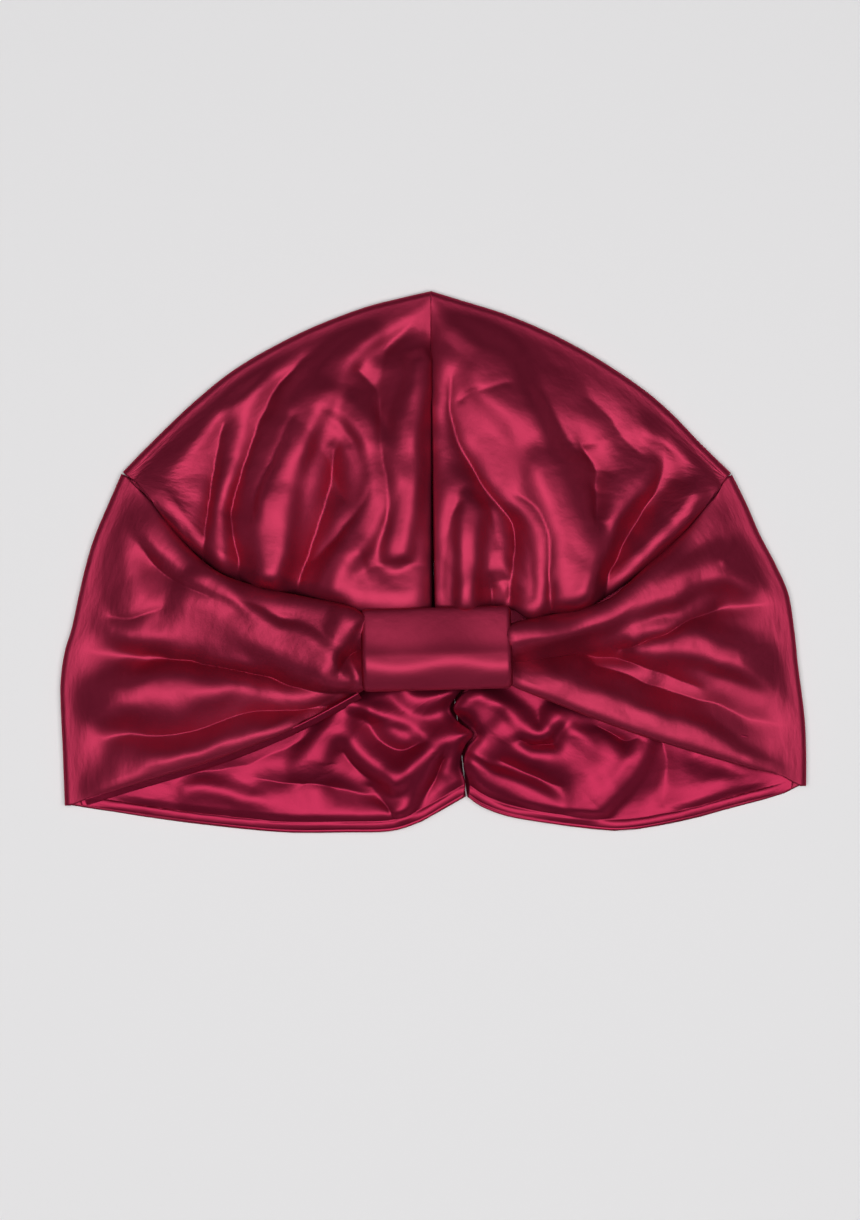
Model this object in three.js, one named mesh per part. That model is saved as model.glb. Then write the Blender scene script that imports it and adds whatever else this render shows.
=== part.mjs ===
import * as THREE from "three";

// A satin sleep bonnet in the shape of a turban, lying on its back with the front up.
// X runs across it, +Y from the nape hem to the top of the crown, and +Z up from what it lies on.
// The front band is gathered through a wrap in the middle. Each half of the crown and of the band
// starts at the front, turns round the folded outline and goes on over the back.

// Driving sizes, in millimetres.
const WIDTH = 300; // across the two lower corners
const LENGTH = 218; // from the top of the crown to the nape hem
const CLOTH = 1.5; // the wall: outer satin and lining together
const SEAM_GAP = 0.6; // between two panels that are sewn together
const EDGE_THICKNESS = 5; // both walls and the air between them at the folded outline
const LOFT = 25; // the front wall above the surface, away from the outline
const LOFT_RUN = 34; // how far in from the outline the front has swelled to two thirds
const SEAM_ROLL_WIDTH = 8; // width of the round edge that turns down into the band's seam
const CENTRE_ROLL_WIDTH = 4; // the same at the centre seam
const CENTRE_DIP = 2.2; // depth of the groove along the centre seam
const HEM_ROLL_WIDTH = 6; // width of the round edge along the band's lower hem
const HEM_LIFT = 17; // the band's lower hem above the surface, beside the wrap
const HEM_CURVE = 0.7; // below 1, the hem lifts early on its way from the corner
const WRAP_LENGTH = 59; // the loop round the gathered band, across the bonnet
const WRAP_WIDTH = 33; // along the bonnet
const WRAP_HEIGHT = 18; // through the gathered band
const WRAP_CENTRE = 22; // its middle above the surface
const WRAP_TURN = 1.5; // degrees, its slant seen from above
const WRAP_CLEARANCE = 0.5; // round the gathered band inside it
const MOUTH_CLEARANCE = 1.5; // from the end of the wrap out to where the band starts to widen
const CROWN_CLEARANCE = 0.8; // between the crown's lower edge and the wrap
const BACK_BOW = 5.5; // how far the seam of crown and band bows down on the back
const FACING_WIDTH = 3; // the lining's edge that shows below the left hem
const NAPE_INSET = 1.5; // how far the lining stops short of the outer hem
const LINING_REST = 0.35; // air between the lining and the back that it lies on
const LINING_RISE = 8.5; // the most that its folds stand up
const FOLD_MOST = 9; // the most that crossing folds of the front rise or sink together
const FOLD_START = 16; // in from the outline, where the folds have their full height
const LINING_FOLD_START = 12; // the same in from the lining's hem

// Mid-surface heights that follow from them.
const BACK_Z = CLOTH / 2;
const EDGE_Z = EDGE_THICKNESS - CLOTH / 2;
const FOLD_RADIUS = (EDGE_Z - BACK_Z) / 2;
const FOLD_INSET = FOLD_RADIUS + CLOTH / 2;
const LINING_Z = CLOTH + LINING_REST + CLOTH / 2;
const WRAP_ROOM = WRAP_WIDTH / 2 - CLOTH - WRAP_CLEARANCE; // half of it, across the gathered band
const SEAM_PITCH = CLOTH + SEAM_GAP; // between the mid-surfaces of two walls that turn down side by side

// Places in the tables are shares of the half width and the half length, from the middle.
const WRAP_PLACE = [0.007, -0.319];
const GATHER_EDGE = [0.086, -0.867];

// Each half: its outline, the seam of crown and band, the band's lower hem and the nape hem.
// The seam and the band's hem end in the mouth of the wrap, at shares of half the room across it.
const HALVES = {
  left: {
    side: -1,
    crownOutline: [[-0.008, 1], [-0.078, 0.978], [-0.199, 0.934], [-0.36, 0.845], [-0.522, 0.723],
      [-0.642, 0.594], [-0.763, 0.435], [-0.836, 0.332]],
    bandOutline: [[-0.844, 0.317], [-0.876, 0.21], [-0.911, 0.096], [-0.935, -0.011], [-0.954, -0.122],
      [-0.973, -0.244], [-0.992, -0.332], [-1, -0.435], [-1, -0.528], [-0.997, -0.712],
      [-0.992, -0.9]],
    seam: [[-0.841, 0.336], [-0.763, 0.218], [-0.669, 0.052], [-0.581, -0.048], [-0.481, -0.1],
      [-0.347, -0.14], [-0.239, -0.17]],
    hem: [[-0.987, -0.893], [-0.817, -0.819], [-0.629, -0.742], [-0.481, -0.668], [-0.36, -0.594],
      [-0.253, -0.517]],
    napeHem: [[-0.992, -0.9], [-0.884, -0.919], [-0.763, -0.945], [-0.602, -0.974], [-0.401, -1],
      [-0.239, -1], [-0.118, -0.996], [-0.038, -0.963], [0.03, -0.911], [0.086, -0.867]],
    mouth: { top: 0.94, bottom: -1 },
  },
  right: {
    side: 1,
    crownOutline: [[-0.008, 1], [0.07, 0.967], [0.191, 0.915], [0.312, 0.845], [0.433, 0.756],
      [0.554, 0.646], [0.634, 0.554], [0.715, 0.439], [0.798, 0.328]],
    bandOutline: [[0.804, 0.314], [0.841, 0.21], [0.876, 0.1], [0.917, -0.007], [0.952, -0.118],
      [0.968, -0.251], [0.978, -0.38], [0.995, -0.565], [1, -0.694], [1, -0.827]],
    seam: [[0.804, 0.314], [0.75, 0.229], [0.683, 0.111], [0.581, -0.015], [0.478, -0.14],
      [0.387, -0.185], [0.285, -0.214]],
    hem: [[1, -0.827], [0.917, -0.779], [0.809, -0.738], [0.688, -0.69], [0.551, -0.631],
      [0.441, -0.576], [0.317, -0.509]],
    napeHem: [[1, -0.827], [0.917, -0.867], [0.796, -0.911], [0.675, -0.956], [0.513, -0.993],
      [0.392, -0.982], [0.272, -0.959], [0.191, -0.937], [0.129, -0.904], [0.089, -0.867]],
    mouth: { top: 0.57, bottom: -1 },
  },
};

// Where the two halves of the back and of the lining meet, from the nape hem up. The band reaches
// this share of the way up the back.
const BAND_RISE = 0.47;
const BACK_SEAM = [GATHER_EDGE, [0.048, -0.435], [-0.003, 0.007], [-0.008, 0.989]];
const LINING_SEAM = [GATHER_EDGE, [0.089, -0.812], [0.075, -0.745], [0.086, -0.679], [0.11, -0.631],
  [0.073, -0.59], [0.048, -0.539], [0.07, -0.487], [0.108, -0.435], [0.097, -0.306]];

// Folds of the cloth. run is a fold's line from the gathered end, rise its height there and at the
// far end as shares of LOFT, and spread its width to the left and right of the run as shares of WIDTH.
const FOLDS = {
  crownLeft: [
    { run: [[-0.59, -0.01], [-0.67, 0.1], [-0.75, 0.23], [-0.82, 0.32]],
      rise: [0.16, 0.1], spread: [0.012, 0.03] },
    { run: [[-0.61, 0.05], [-0.62, 0.23], [-0.59, 0.45]], rise: [-0.16, -0.04], spread: [0.024, 0.024] },
    { run: [[-0.57, -0.01], [-0.56, 0.15], [-0.53, 0.32], [-0.46, 0.49], [-0.35, 0.63], [-0.24, 0.78]],
      rise: [0.2, 0.14], spread: [0.022, 0.02] },
    { run: [[-0.51, -0.06], [-0.51, 0.08], [-0.49, 0.27], [-0.45, 0.43]],
      rise: [-0.4, -0.08], spread: [0.022, 0.022] },
    { run: [[-0.44, -0.08], [-0.43, 0.08], [-0.44, 0.24], [-0.41, 0.41], [-0.37, 0.53]],
      rise: [0.26, 0.14], spread: [0.02, 0.022] },
    { run: [[-0.37, -0.11], [-0.33, 0.01], [-0.27, 0.14], [-0.23, 0.27], [-0.24, 0.39]],
      rise: [-0.4, -0.14], spread: [0.03, 0.022] },
    { run: [[-0.3, -0.04], [-0.23, 0.12], [-0.16, 0.25], [-0.14, 0.35], [-0.18, 0.46], [-0.26, 0.55]],
      rise: [0.12, 0.18], spread: [0.02, 0.026] },
    { run: [[-0.17, -0.13], [-0.12, 0.08], [-0.08, 0.34], [-0.06, 0.6]],
      rise: [0.12, 0.16], spread: [0.03, 0.03] },
    { run: [[-0.28, 0.3], [-0.31, 0.45], [-0.3, 0.6]], rise: [-0.12, -0.08], spread: [0.03, 0.03] },
  ],
  crownRight: [
    { run: [[0.48, -0.13], [0.58, 0], [0.67, 0.13], [0.73, 0.23], [0.79, 0.32]],
      rise: [0.1, 0.14], spread: [0.03, 0.014] },
    { run: [[0.45, -0.13], [0.51, 0.03], [0.57, 0.17], [0.63, 0.28]],
      rise: [-0.42, -0.14], spread: [0.016, 0.024] },
    { run: [[0.41, -0.11], [0.45, 0.04], [0.5, 0.18], [0.56, 0.26]],
      rise: [0.18, 0.2], spread: [0.03, 0.018] },
    { run: [[0.35, 0.01], [0.4, 0.23], [0.41, 0.45]], rise: [-0.12, -0.14], spread: [0.036, 0.036] },
    { run: [[0.33, -0.11], [0.34, 0.04], [0.28, 0.24], [0.2, 0.45], [0.14, 0.78]],
      rise: [0.16, 0.16], spread: [0.036, 0.03] },
    { run: [[0.25, -0.21], [0.28, -0.1], [0.28, 0.01], [0.24, 0.13], [0.19, 0.22]],
      rise: [0.22, 0.16], spread: [0.014, 0.02] },
    { run: [[0.21, -0.1], [0.2, -0.04], [0.17, 0.02]], rise: [-0.34, -0.12], spread: [0.022, 0.022] },
    { run: [[0.09, -0.1], [0.08, 0.08], [0.12, 0.21]], rise: [0.12, 0.1], spread: [0.03, 0.03] },
    { run: [[0.65, 0.21], [0.69, 0.34], [0.67, 0.51]], rise: [0.12, 0.06], spread: [0.02, 0.02] },
  ],
  bandLeft: [
    { run: [[-0.24, -0.22], [-0.39, -0.16], [-0.55, -0.1], [-0.7, 0], [-0.79, 0.15]],
      rise: [0.1, 0.12], spread: [0.02, 0.02] },
    { run: [[-0.24, -0.29], [-0.41, -0.18], [-0.63, -0.11], [-0.79, 0.06]],
      rise: [-0.02, -0.16], spread: [0.018, 0.02] },
    { run: [[-0.23, -0.45], [-0.36, -0.34], [-0.53, -0.21], [-0.71, -0.08], [-0.87, 0.14]],
      rise: [0.14, 0.14], spread: [0.026, 0.04] },
    { run: [[-0.21, -0.48], [-0.36, -0.47], [-0.58, -0.41], [-0.76, -0.38], [-0.95, -0.37]],
      rise: [-0.3, -0.2], spread: [0.03, 0.016] },
    { run: [[-0.49, -0.47], [-0.71, -0.49], [-0.92, -0.55]], rise: [0.08, 0.16], spread: [0.04, 0.04] },
    { run: [[-0.23, -0.51], [-0.39, -0.55], [-0.6, -0.64], [-0.87, -0.76]],
      rise: [-0.26, -0.18], spread: [0.026, 0.03] },
    { run: [[-0.25, -0.5], [-0.39, -0.59], [-0.63, -0.71], [-0.92, -0.85]],
      rise: [0.16, 0.1], spread: [0.014, 0.014] },
  ],
  bandRight: [
    { run: [[0.22, -0.29], [0.37, -0.26], [0.51, -0.18], [0.72, -0.1], [0.9, -0.04]],
      rise: [0.16, 0.12], spread: [0.026, 0.022] },
    { run: [[0.21, -0.38], [0.34, -0.35], [0.5, -0.31], [0.67, -0.22], [0.88, -0.16]],
      rise: [-0.36, -0.14], spread: [0.014, 0.03] },
    { run: [[0.5, -0.36], [0.72, -0.36], [0.93, -0.41]], rise: [0.04, 0.18], spread: [0.03, 0.04] },
    { run: [[0.42, -0.41], [0.63, -0.45], [0.88, -0.59]], rise: [-0.22, -0.2], spread: [0.03, 0.03] },
    { run: [[0.22, -0.41], [0.35, -0.46], [0.51, -0.54], [0.72, -0.64], [0.97, -0.8]],
      rise: [0.16, 0.12], spread: [0.022, 0.016] },
  ],
  liningLeft: [
    { run: [[0.06, -0.66], [-0.02, -0.73], [-0.09, -0.83], [-0.13, -0.96]],
      rise: [0.34, 0.12], spread: [0.02, 0.02] },
    { run: [[0.07, -0.61], [-0.02, -0.6], [-0.12, -0.56], [-0.18, -0.5]],
      rise: [0.34, 0.2], spread: [0.014, 0.02] },
    { run: [[-0.09, -0.83], [-0.17, -0.7], [-0.22, -0.61]], rise: [0.3, 0.16], spread: [0.02, 0.02] },
    { run: [[0.06, -0.74], [0.02, -0.84], [-0.04, -0.92]], rise: [0.24, 0.1], spread: [0.018, 0.018] },
    { run: [[-0.28, -0.63], [-0.3, -0.77], [-0.36, -0.88]], rise: [0.26, 0.1], spread: [0.03, 0.03] },
    { run: [[-0.28, -0.92], [-0.55, -0.9], [-0.82, -0.88]], rise: [0.16, 0.06], spread: [0.03, 0.03] },
    { run: [[0.06, -0.51], [-0.01, -0.48], [-0.09, -0.45]], rise: [0.3, 0.2], spread: [0.016, 0.016] },
  ],
  liningRight: [
    { run: [[0.06, -0.54], [0.11, -0.49], [0.2, -0.52], [0.28, -0.61], [0.33, -0.65], [0.39, -0.59],
        [0.45, -0.55]],
      rise: [0.42, 0.24], spread: [0.014, 0.018] },
    { run: [[0.12, -0.64], [0.1, -0.73], [0.12, -0.82]], rise: [0.36, 0.2], spread: [0.016, 0.03] },
    { run: [[0.21, -0.66], [0.26, -0.75], [0.33, -0.78]], rise: [0.26, 0.14], spread: [0.02, 0.02] },
    { run: [[0.45, -0.57], [0.52, -0.66], [0.49, -0.79], [0.44, -0.88]],
      rise: [0.24, 0.2], spread: [0.024, 0.03] },
    { run: [[0.15, -0.84], [0.34, -0.91], [0.55, -0.94], [0.8, -0.88]],
      rise: [0.2, 0.06], spread: [0.024, 0.03] },
  ],
};

// Shares of the way along an edge, from the outer corner: where the crown's lower edge follows the
// band's seam, where the lining's low and high corners are, and where its visible edge runs.
const CROWN_EDGE_STATIONS = [0.92, 0.85, 0.7, 0.5, 0.3, 0.16, 0.06];
const LINING_CORNERS = { low: 0.04, high: 0.86 };
const FACING_RUN = { from: 0.3, to: 0.96 };
const CORNER_BLEND = 0.1; // an edge eases into the folded corner over this share of its run
const GATHER_RUN = 0.2; // share of the band's run before the wrap over which it is gathered
const CROWN_BACK_REACH = 0.94; // the crown's back stops this far along the back seam
const ROLL_SHARE = 0.6; // a rounded edge takes up at most this share of its panel
const LINING_FADE = 0.2; // the lining's folds fade out over this share at its side and top

// Grid of the faceted walls: stations across a panel and shares of the way from the outline inwards.
const STATIONS = { crown: 24, band: 20, lining: 22 };
const FRONT_STEPS = [0, 0.05, 0.11, 0.18, 0.25, 0.32, 0.39, 0.46, 0.53, 0.6, 0.67, 0.74, 0.81, 0.87,
  0.92, 0.96, 0.985, 1];
const BAND_STEPS = [0, 0.05, 0.12, 0.2, 0.28, 0.36, 0.44, 0.52, 0.6, 0.67, 0.73, 0.78, 0.83, 0.9, 1];
const CROWN_BACK_STEPS = [0, 0.35, 0.7, 1];
const BAND_BACK_STEPS = [0, 0.2, 0.4, 0.58, 0.74, 0.87, 1];
const LINING_STEPS = 10;
const FACING_STEPS = 20;
const FOLD_ANGLES = [45, 0, -45]; // degrees round the folded outline
const WRAP_SIDES = 32;
const WRAP_SQUARENESS = 2.6; // 2 is an ellipse, and more is boxier
const MOUTH = 0.83; // share of the band's steps at which it goes into the wrap

const share = (place) => new THREE.Vector2((place[0] * WIDTH) / 2, (place[1] * LENGTH) / 2);
const smooth = (from, to, x) => THREE.MathUtils.smoothstep(x, from, to);
const lerp = THREE.MathUtils.lerp;

// A smooth curve through places: curve(a) is the point at a share a of its length.
function through(points) {
  const curve = new THREE.SplineCurve(points);
  curve.arcLengthDivisions = 400;
  return (a) => curve.getPointAt(THREE.MathUtils.clamp(a, 0, 1));
}

// The same curve moved sideways: a positive distance is to the left of its direction.
function beside(curve, distance) {
  const step = 0.004;
  return (a) => {
    const along = curve(Math.min(1, a + step)).sub(curve(Math.max(0, a - step))).normalize();
    return curve(a).add(new THREE.Vector2(-along.y, along.x).multiplyScalar(distance));
  };
}

const line = (from, to) => (a) => from.clone().lerp(to, a);

// A surface patch between four curves: outer and inner run with u, first and last with v.
function patch(outer, inner, first, last) {
  const corner = [outer(0), outer(1), inner(0), inner(1)];
  return (u, v) => {
    const ruled = outer(u).lerp(inner(u), v);
    const crossed = first(v).lerp(last(v), u);
    const both = corner[0].clone().lerp(corner[1], u).lerp(corner[2].clone().lerp(corner[3], u), v);
    return ruled.add(crossed).sub(both);
  };
}

// How far the folds lift a place. Where folds cross, their sum eases off towards the most allowed.
const foldLines = new Map();
function foldLift(folds, place, most) {
  let lift = 0;
  for (const fold of folds) {
    if (!foldLines.has(fold)) {
      const curve = new THREE.SplineCurve(fold.run.map(share));
      foldLines.set(fold, curve.getPoints(6 * fold.run.length));
    }
    const points = foldLines.get(fold);
    let nearest = { distance: Infinity };
    for (let i = 0; i < points.length - 1; i++) {
      const along = points[i + 1].clone().sub(points[i]);
      const off = place.clone().sub(points[i]);
      const a = THREE.MathUtils.clamp(off.dot(along) / along.lengthSq(), 0, 1);
      const distance = off.addScaledVector(along, -a).length();
      if (distance < nearest.distance) {
        // 1 to the left of the run, 0 to the right of it, and between them round its two ends.
        const lean = 0.5 + along.cross(off) / (2 * along.length() * distance + 1e-9);
        nearest = { distance, lean, at: (i + a) / (points.length - 1) };
      }
    }
    const spread = WIDTH * lerp(fold.spread[1], fold.spread[0], nearest.lean);
    lift += LOFT * lerp(...fold.rise, nearest.at) * Math.exp(-((nearest.distance / spread) ** 2));
  }
  return most * Math.tanh(lift / most);
}

// 0 at the edge of a rounded roll and 1 past its width.
const roll = (distance, width) => Math.sqrt(1 - (1 - Math.min(1, distance / width)) ** 2);

// The swell of the front wall at a distance in from the outline.
const swell = (distance) => EDGE_Z + (LOFT - EDGE_Z) * (1 - Math.exp(-distance / LOFT_RUN));

// The height of the band's lower hem at a share of its way from the outline to the wrap.
const hemHeight = (a) => lerp(EDGE_Z, HEM_LIFT, Math.min(1, a) ** HEM_CURVE);

// A closed wall from rows of mid-surface points, each with the half thickness there. With upright,
// the edge at the first row is cut straight across X, to meet another wall there.
function wall(rows, upright = false) {
  const last = { row: rows.length - 1, column: rows[0].length - 1 };
  const skins = [1, -1].map((sign) =>
    rows.map((row, i) =>
      row.map(({ point, half }, j) => {
        const before = rows[Math.max(0, i - 1)][j].point;
        const after = rows[Math.min(last.row, i + 1)][j].point;
        const inner = row[Math.max(0, j - 1)].point;
        const outer = row[Math.min(last.column, j + 1)].point;
        const normal = after.clone().sub(before).cross(outer.clone().sub(inner));
        if (upright && i === 0) normal.setX(0);
        normal.normalize();
        return point.clone().addScaledVector(normal, sign * half);
      }),
    ),
  );
  const faces = [];
  // A quad is split along its shorter diagonal, which keeps a slanting fold smooth.
  const quad = (a, b, c, d) =>
    a.distanceTo(c) <= b.distanceTo(d) ? faces.push(a, b, c, a, c, d) : faces.push(a, b, d, b, c, d);
  const [over, under] = skins;
  for (let i = 0; i < last.row; i++)
    for (let j = 0; j < last.column; j++) {
      quad(over[i][j], over[i + 1][j], over[i + 1][j + 1], over[i][j + 1]);
      quad(under[i][j], under[i][j + 1], under[i + 1][j + 1], under[i + 1][j]);
    }
  for (let i = 0; i < last.row; i++) {
    quad(over[i][0], under[i][0], under[i + 1][0], over[i + 1][0]);
    quad(over[i + 1][last.column], under[i + 1][last.column], under[i][last.column], over[i][last.column]);
  }
  for (let j = 0; j < last.column; j++) {
    quad(over[0][j + 1], under[0][j + 1], under[0][j], over[0][j]);
    quad(over[last.row][j], under[last.row][j], under[last.row][j + 1], over[last.row][j + 1]);
  }
  return facingOut(new THREE.BufferGeometry().setFromPoints(faces));
}

// The left and right halves run round in opposite senses, so one of them has its faces turned.
function facingOut(geometry) {
  const position = geometry.getAttribute("position");
  const [a, b, c] = [0, 1, 2].map(() => new THREE.Vector3());
  let volume = 0;
  for (let i = 0; i < position.count; i += 3) {
    [a, b, c].forEach((corner, k) => corner.fromBufferAttribute(position, i + k));
    volume += a.dot(b.clone().cross(c)) / 6;
  }
  if (volume < 0)
    for (let i = 0; i < position.count; i += 3) {
      a.fromBufferAttribute(position, i);
      b.fromBufferAttribute(position, i + 1);
      position.setXYZ(i, b.x, b.y, b.z);
      position.setXYZ(i + 1, a.x, a.y, a.z);
    }
  geometry.computeVertexNormals();
  return geometry;
}

// A wall that starts at the front's inner edge, turns round the folded outline and crosses the back.
// With fromCentre, which moves a place to its side of the centre seam, it meets another wall there.
function foldedShell(panel) {
  const { side, outline, front, frontSteps, back, backSteps, stations } = panel;
  const { heightAt, halfAt, fromCentre } = panel;
  const rows = [];
  for (let i = 0; i <= stations; i++) {
    const u = i / stations;
    const row = frontSteps.toReversed().map((v) => {
      const place = front(u, v);
      return { point: new THREE.Vector3(place.x, place.y, heightAt(u, v, place)), half: halfAt(u, v) };
    });
    const foldCentre = beside(outline, -side * FOLD_INSET)(u);
    const outward = outline(u).sub(foldCentre).normalize();
    for (const angle of FOLD_ANGLES) {
      const turn = THREE.MathUtils.degToRad(angle);
      const place = foldCentre.clone().addScaledVector(outward, FOLD_RADIUS * Math.cos(turn));
      if (fromCentre) fromCentre(place);
      const height = (EDGE_Z + BACK_Z) / 2 + FOLD_RADIUS * Math.sin(turn);
      row.push({ point: new THREE.Vector3(place.x, place.y, height), half: CLOTH / 2 });
    }
    for (const v of backSteps) {
      const place = back(u, v);
      row.push({ point: new THREE.Vector3(place.x, place.y, BACK_Z), half: CLOTH / 2 });
    }
    rows.push(row);
  }
  return wall(rows, Boolean(fromCentre));
}

// A place by the wrap: millimetres along it and across it from its middle.
const wrapPlace = share(WRAP_PLACE);
const wrapTurn = THREE.MathUtils.degToRad(WRAP_TURN);
const byWrap = (x, y) => new THREE.Vector2(x, y).rotateAround(new THREE.Vector2(), wrapTurn).add(wrapPlace);

// The curves that the panels of one half share.
function curvesOf(half) {
  const { side, mouth } = half;
  const mouthPlace = side * (WRAP_LENGTH / 2 + MOUTH_CLEARANCE);
  const mouthTop = byWrap(mouthPlace, mouth.top * WRAP_ROOM);
  const mouthBottom = byWrap(mouthPlace, mouth.bottom * WRAP_ROOM);
  const crownOutline = through(half.crownOutline.map(share));
  const bandOutline = through(half.bandOutline.map(share));
  const seam = through([...half.seam.map(share), mouthTop]);
  const hem = through([...half.hem.map(share), mouthBottom]);
  // On the back, the middle seam runs up from the nape, and the other seam from the corner to it.
  const middleSeam = beside(through(BACK_SEAM.map(share)), (-side * SEAM_GAP) / 2);
  const corner = beside(bandOutline, -side * FOLD_INSET)(0);
  const middle = middleSeam(BAND_RISE);
  const bow = corner.clone().lerp(middle, 0.5).add(new THREE.Vector2(0, -BACK_BOW));
  const backSeam = through([corner, bow, middle]);
  return { side, crownOutline, bandOutline, seam, hem, middleSeam, backSeam };
}

function crownShell(half, folds) {
  const { side, crownOutline, seam, backSeam } = curvesOf(half);
  const centre = share(half.crownOutline[0]).x + (side * SEAM_GAP) / 2;
  const fromCentre = (place) => place.setX(side * Math.max(side * place.x, side * centre));
  const inset = beside(crownOutline, -side * FOLD_INSET);
  const outer = (u) => fromCentre(inset(u));
  // The inner edge runs over the top of the wrap and then along the band's seam to the corner.
  const overWrap = WRAP_WIDTH / 2 + CROWN_CLEARANCE + CLOTH / 2;
  const pastWrap = side * (WRAP_LENGTH / 2 + CROWN_CLEARANCE + CLOTH / 2);
  const besideSeam = beside(seam, -side * SEAM_PITCH);
  const inner = through([
    fromCentre(byWrap(0, overWrap)),
    byWrap(pastWrap * 0.5, overWrap),
    byWrap(pastWrap * 0.95, overWrap),
    ...CROWN_EDGE_STATIONS.map(besideSeam),
  ]);
  const front = patch(outer, inner, line(outer(0), inner(0)), line(outer(1), inner(1)));
  const backInner = (u) => beside(backSeam, -side * SEAM_GAP)(1 - CROWN_BACK_REACH * u);
  const middle = new THREE.Vector2(centre, backInner(0).y);
  const back = patch(
    outer,
    (u) => (u === 0 ? middle : backInner(u)),
    line(outer(0), middle),
    line(outer(1), backInner(1)),
  );
  const heightAt = (u, v, place) => {
    const fromOutline = place.distanceTo(outer(u));
    const fromInner = place.distanceTo(inner(u));
    const fromSeam = Math.abs(place.x - centre);
    const folded = foldLift(folds, place, FOLD_MOST) * smooth(0, FOLD_START, fromOutline);
    const free = swell(fromOutline) + folded;
    const edge = lerp(WRAP_CENTRE, EDGE_Z, smooth(CORNER_BLEND, 1, u));
    const rollWidth = Math.min(SEAM_ROLL_WIDTH, ROLL_SHARE * inner(u).distanceTo(outer(u)));
    const sunk = lerp(edge, free, roll(fromInner, rollWidth));
    const inwards = smooth(0, CENTRE_ROLL_WIDTH, fromOutline);
    const groove = CENTRE_DIP * (1 - roll(fromSeam, CENTRE_ROLL_WIDTH)) * inwards;
    return Math.max(EDGE_Z, sunk - groove);
  };
  return foldedShell({
    outline: (u) => fromCentre(crownOutline(u)),
    front,
    frontSteps: FRONT_STEPS,
    back,
    backSteps: CROWN_BACK_STEPS,
    stations: STATIONS.crown,
    heightAt,
    halfAt: () => CLOTH / 2,
    side,
    fromCentre,
  });
}

function bandShell(half, folds) {
  const { side, bandOutline, seam, hem, middleSeam, backSeam } = curvesOf(half);
  const outer = beside(bandOutline, -side * FOLD_INSET);
  const endTop = byWrap((side * SEAM_GAP) / 2, WRAP_ROOM);
  const endBottom = byWrap((side * SEAM_GAP) / 2, -WRAP_ROOM);
  const into = (curve, from, to) => {
    const start = outer(from);
    return (v) => {
      if (v >= MOUTH) return curve(1).lerp(to, (v - MOUTH) / (1 - MOUTH));
      const place = curve(v / MOUTH);
      return place.add(start.clone().sub(curve(0)).multiplyScalar(1 - smooth(0, CORNER_BLEND, v)));
    };
  };
  const top = into(seam, 0, endTop);
  const bottom = into(hem, 1, endBottom);
  const front = patch(outer, line(endTop, endBottom), top, bottom);
  const napeHem = through(half.napeHem.map(share));
  const backInner = (u) => middleSeam(BAND_RISE * (1 - u));
  const back = patch(outer, backInner, backSeam, (v) => {
    const place = napeHem(v);
    return place.add(outer(1).sub(napeHem(0)).multiplyScalar(1 - smooth(0, CORNER_BLEND, v)));
  });
  // The gathered cloth fills the wrap.
  const bulk = (u) => {
    const most = WRAP_HEIGHT / 2 - CLOTH - WRAP_CLEARANCE;
    const across = Math.abs(2 * u - 1) ** WRAP_SQUARENESS;
    return Math.max(CLOTH / 2, most * (1 - across) ** (1 / WRAP_SQUARENESS));
  };
  const gathered = (v) => smooth(MOUTH - GATHER_RUN, MOUTH, v);
  const heightAt = (u, v, place) => {
    const fromOutline = place.distanceTo(outer(u));
    const folded = foldLift(folds, place, FOLD_MOST) * smooth(0, FOLD_START, fromOutline);
    const swollen = swell(fromOutline) + folded;
    const seamEdge = lerp(EDGE_Z, WRAP_CENTRE, smooth(0, 1, v / MOUTH));
    const fromSeam = place.distanceTo(top(v));
    const fromHem = place.distanceTo(bottom(v));
    const nearSeam = lerp(seamEdge, swollen, roll(fromSeam, SEAM_ROLL_WIDTH));
    const free = lerp(hemHeight(v / MOUTH), nearSeam, roll(fromHem, HEM_ROLL_WIDTH));
    return Math.max(EDGE_Z, lerp(free, WRAP_CENTRE, gathered(v)));
  };
  return foldedShell({
    outline: bandOutline,
    front,
    frontSteps: BAND_STEPS,
    back,
    backSteps: BAND_BACK_STEPS,
    stations: STATIONS.band,
    heightAt,
    halfAt: (u, v) => lerp(CLOTH / 2, bulk(u), gathered(v)),
    side,
  });
}

// The lining that shows inside the nape, below the band, on top of the back of the band.
function liningShell(half, folds) {
  const { side, bandOutline } = curvesOf(half);
  const napeHem = beside(through(half.napeHem.map(share)), -side * NAPE_INSET);
  const centre = beside(through(LINING_SEAM.map(share)), (-side * (SEAM_GAP + CLOTH / 2)) / 2);
  const sideEdge = beside(bandOutline, -side * (FOLD_INSET + CLOTH));
  const { low, high } = LINING_CORNERS;
  const hem = (u) => napeHem(lerp(low, 1, u));
  const cornerHigh = sideEdge(high);
  const upper = line(cornerHigh, centre(1));
  const front = patch(hem, upper, line(hem(0), cornerHigh), centre);
  const rows = [];
  for (let i = 0; i <= STATIONS.lining; i++) {
    const u = i / STATIONS.lining;
    const row = [];
    for (let j = 0; j <= LINING_STEPS; j++) {
      const v = j / LINING_STEPS;
      const place = front(u, v);
      const fromHem = place.distanceTo(hem(u));
      const fade = smooth(0, LINING_FADE, u) * smooth(0, LINING_FADE, 1 - v);
      const inside = fade * smooth(0, LINING_FOLD_START, fromHem);
      const height = LINING_Z + Math.max(0, foldLift(folds, place, LINING_RISE)) * inside;
      row.push({ point: new THREE.Vector3(place.x, place.y, height), half: CLOTH / 2 });
    }
    rows.push(row);
  }
  return wall(rows);
}

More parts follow.
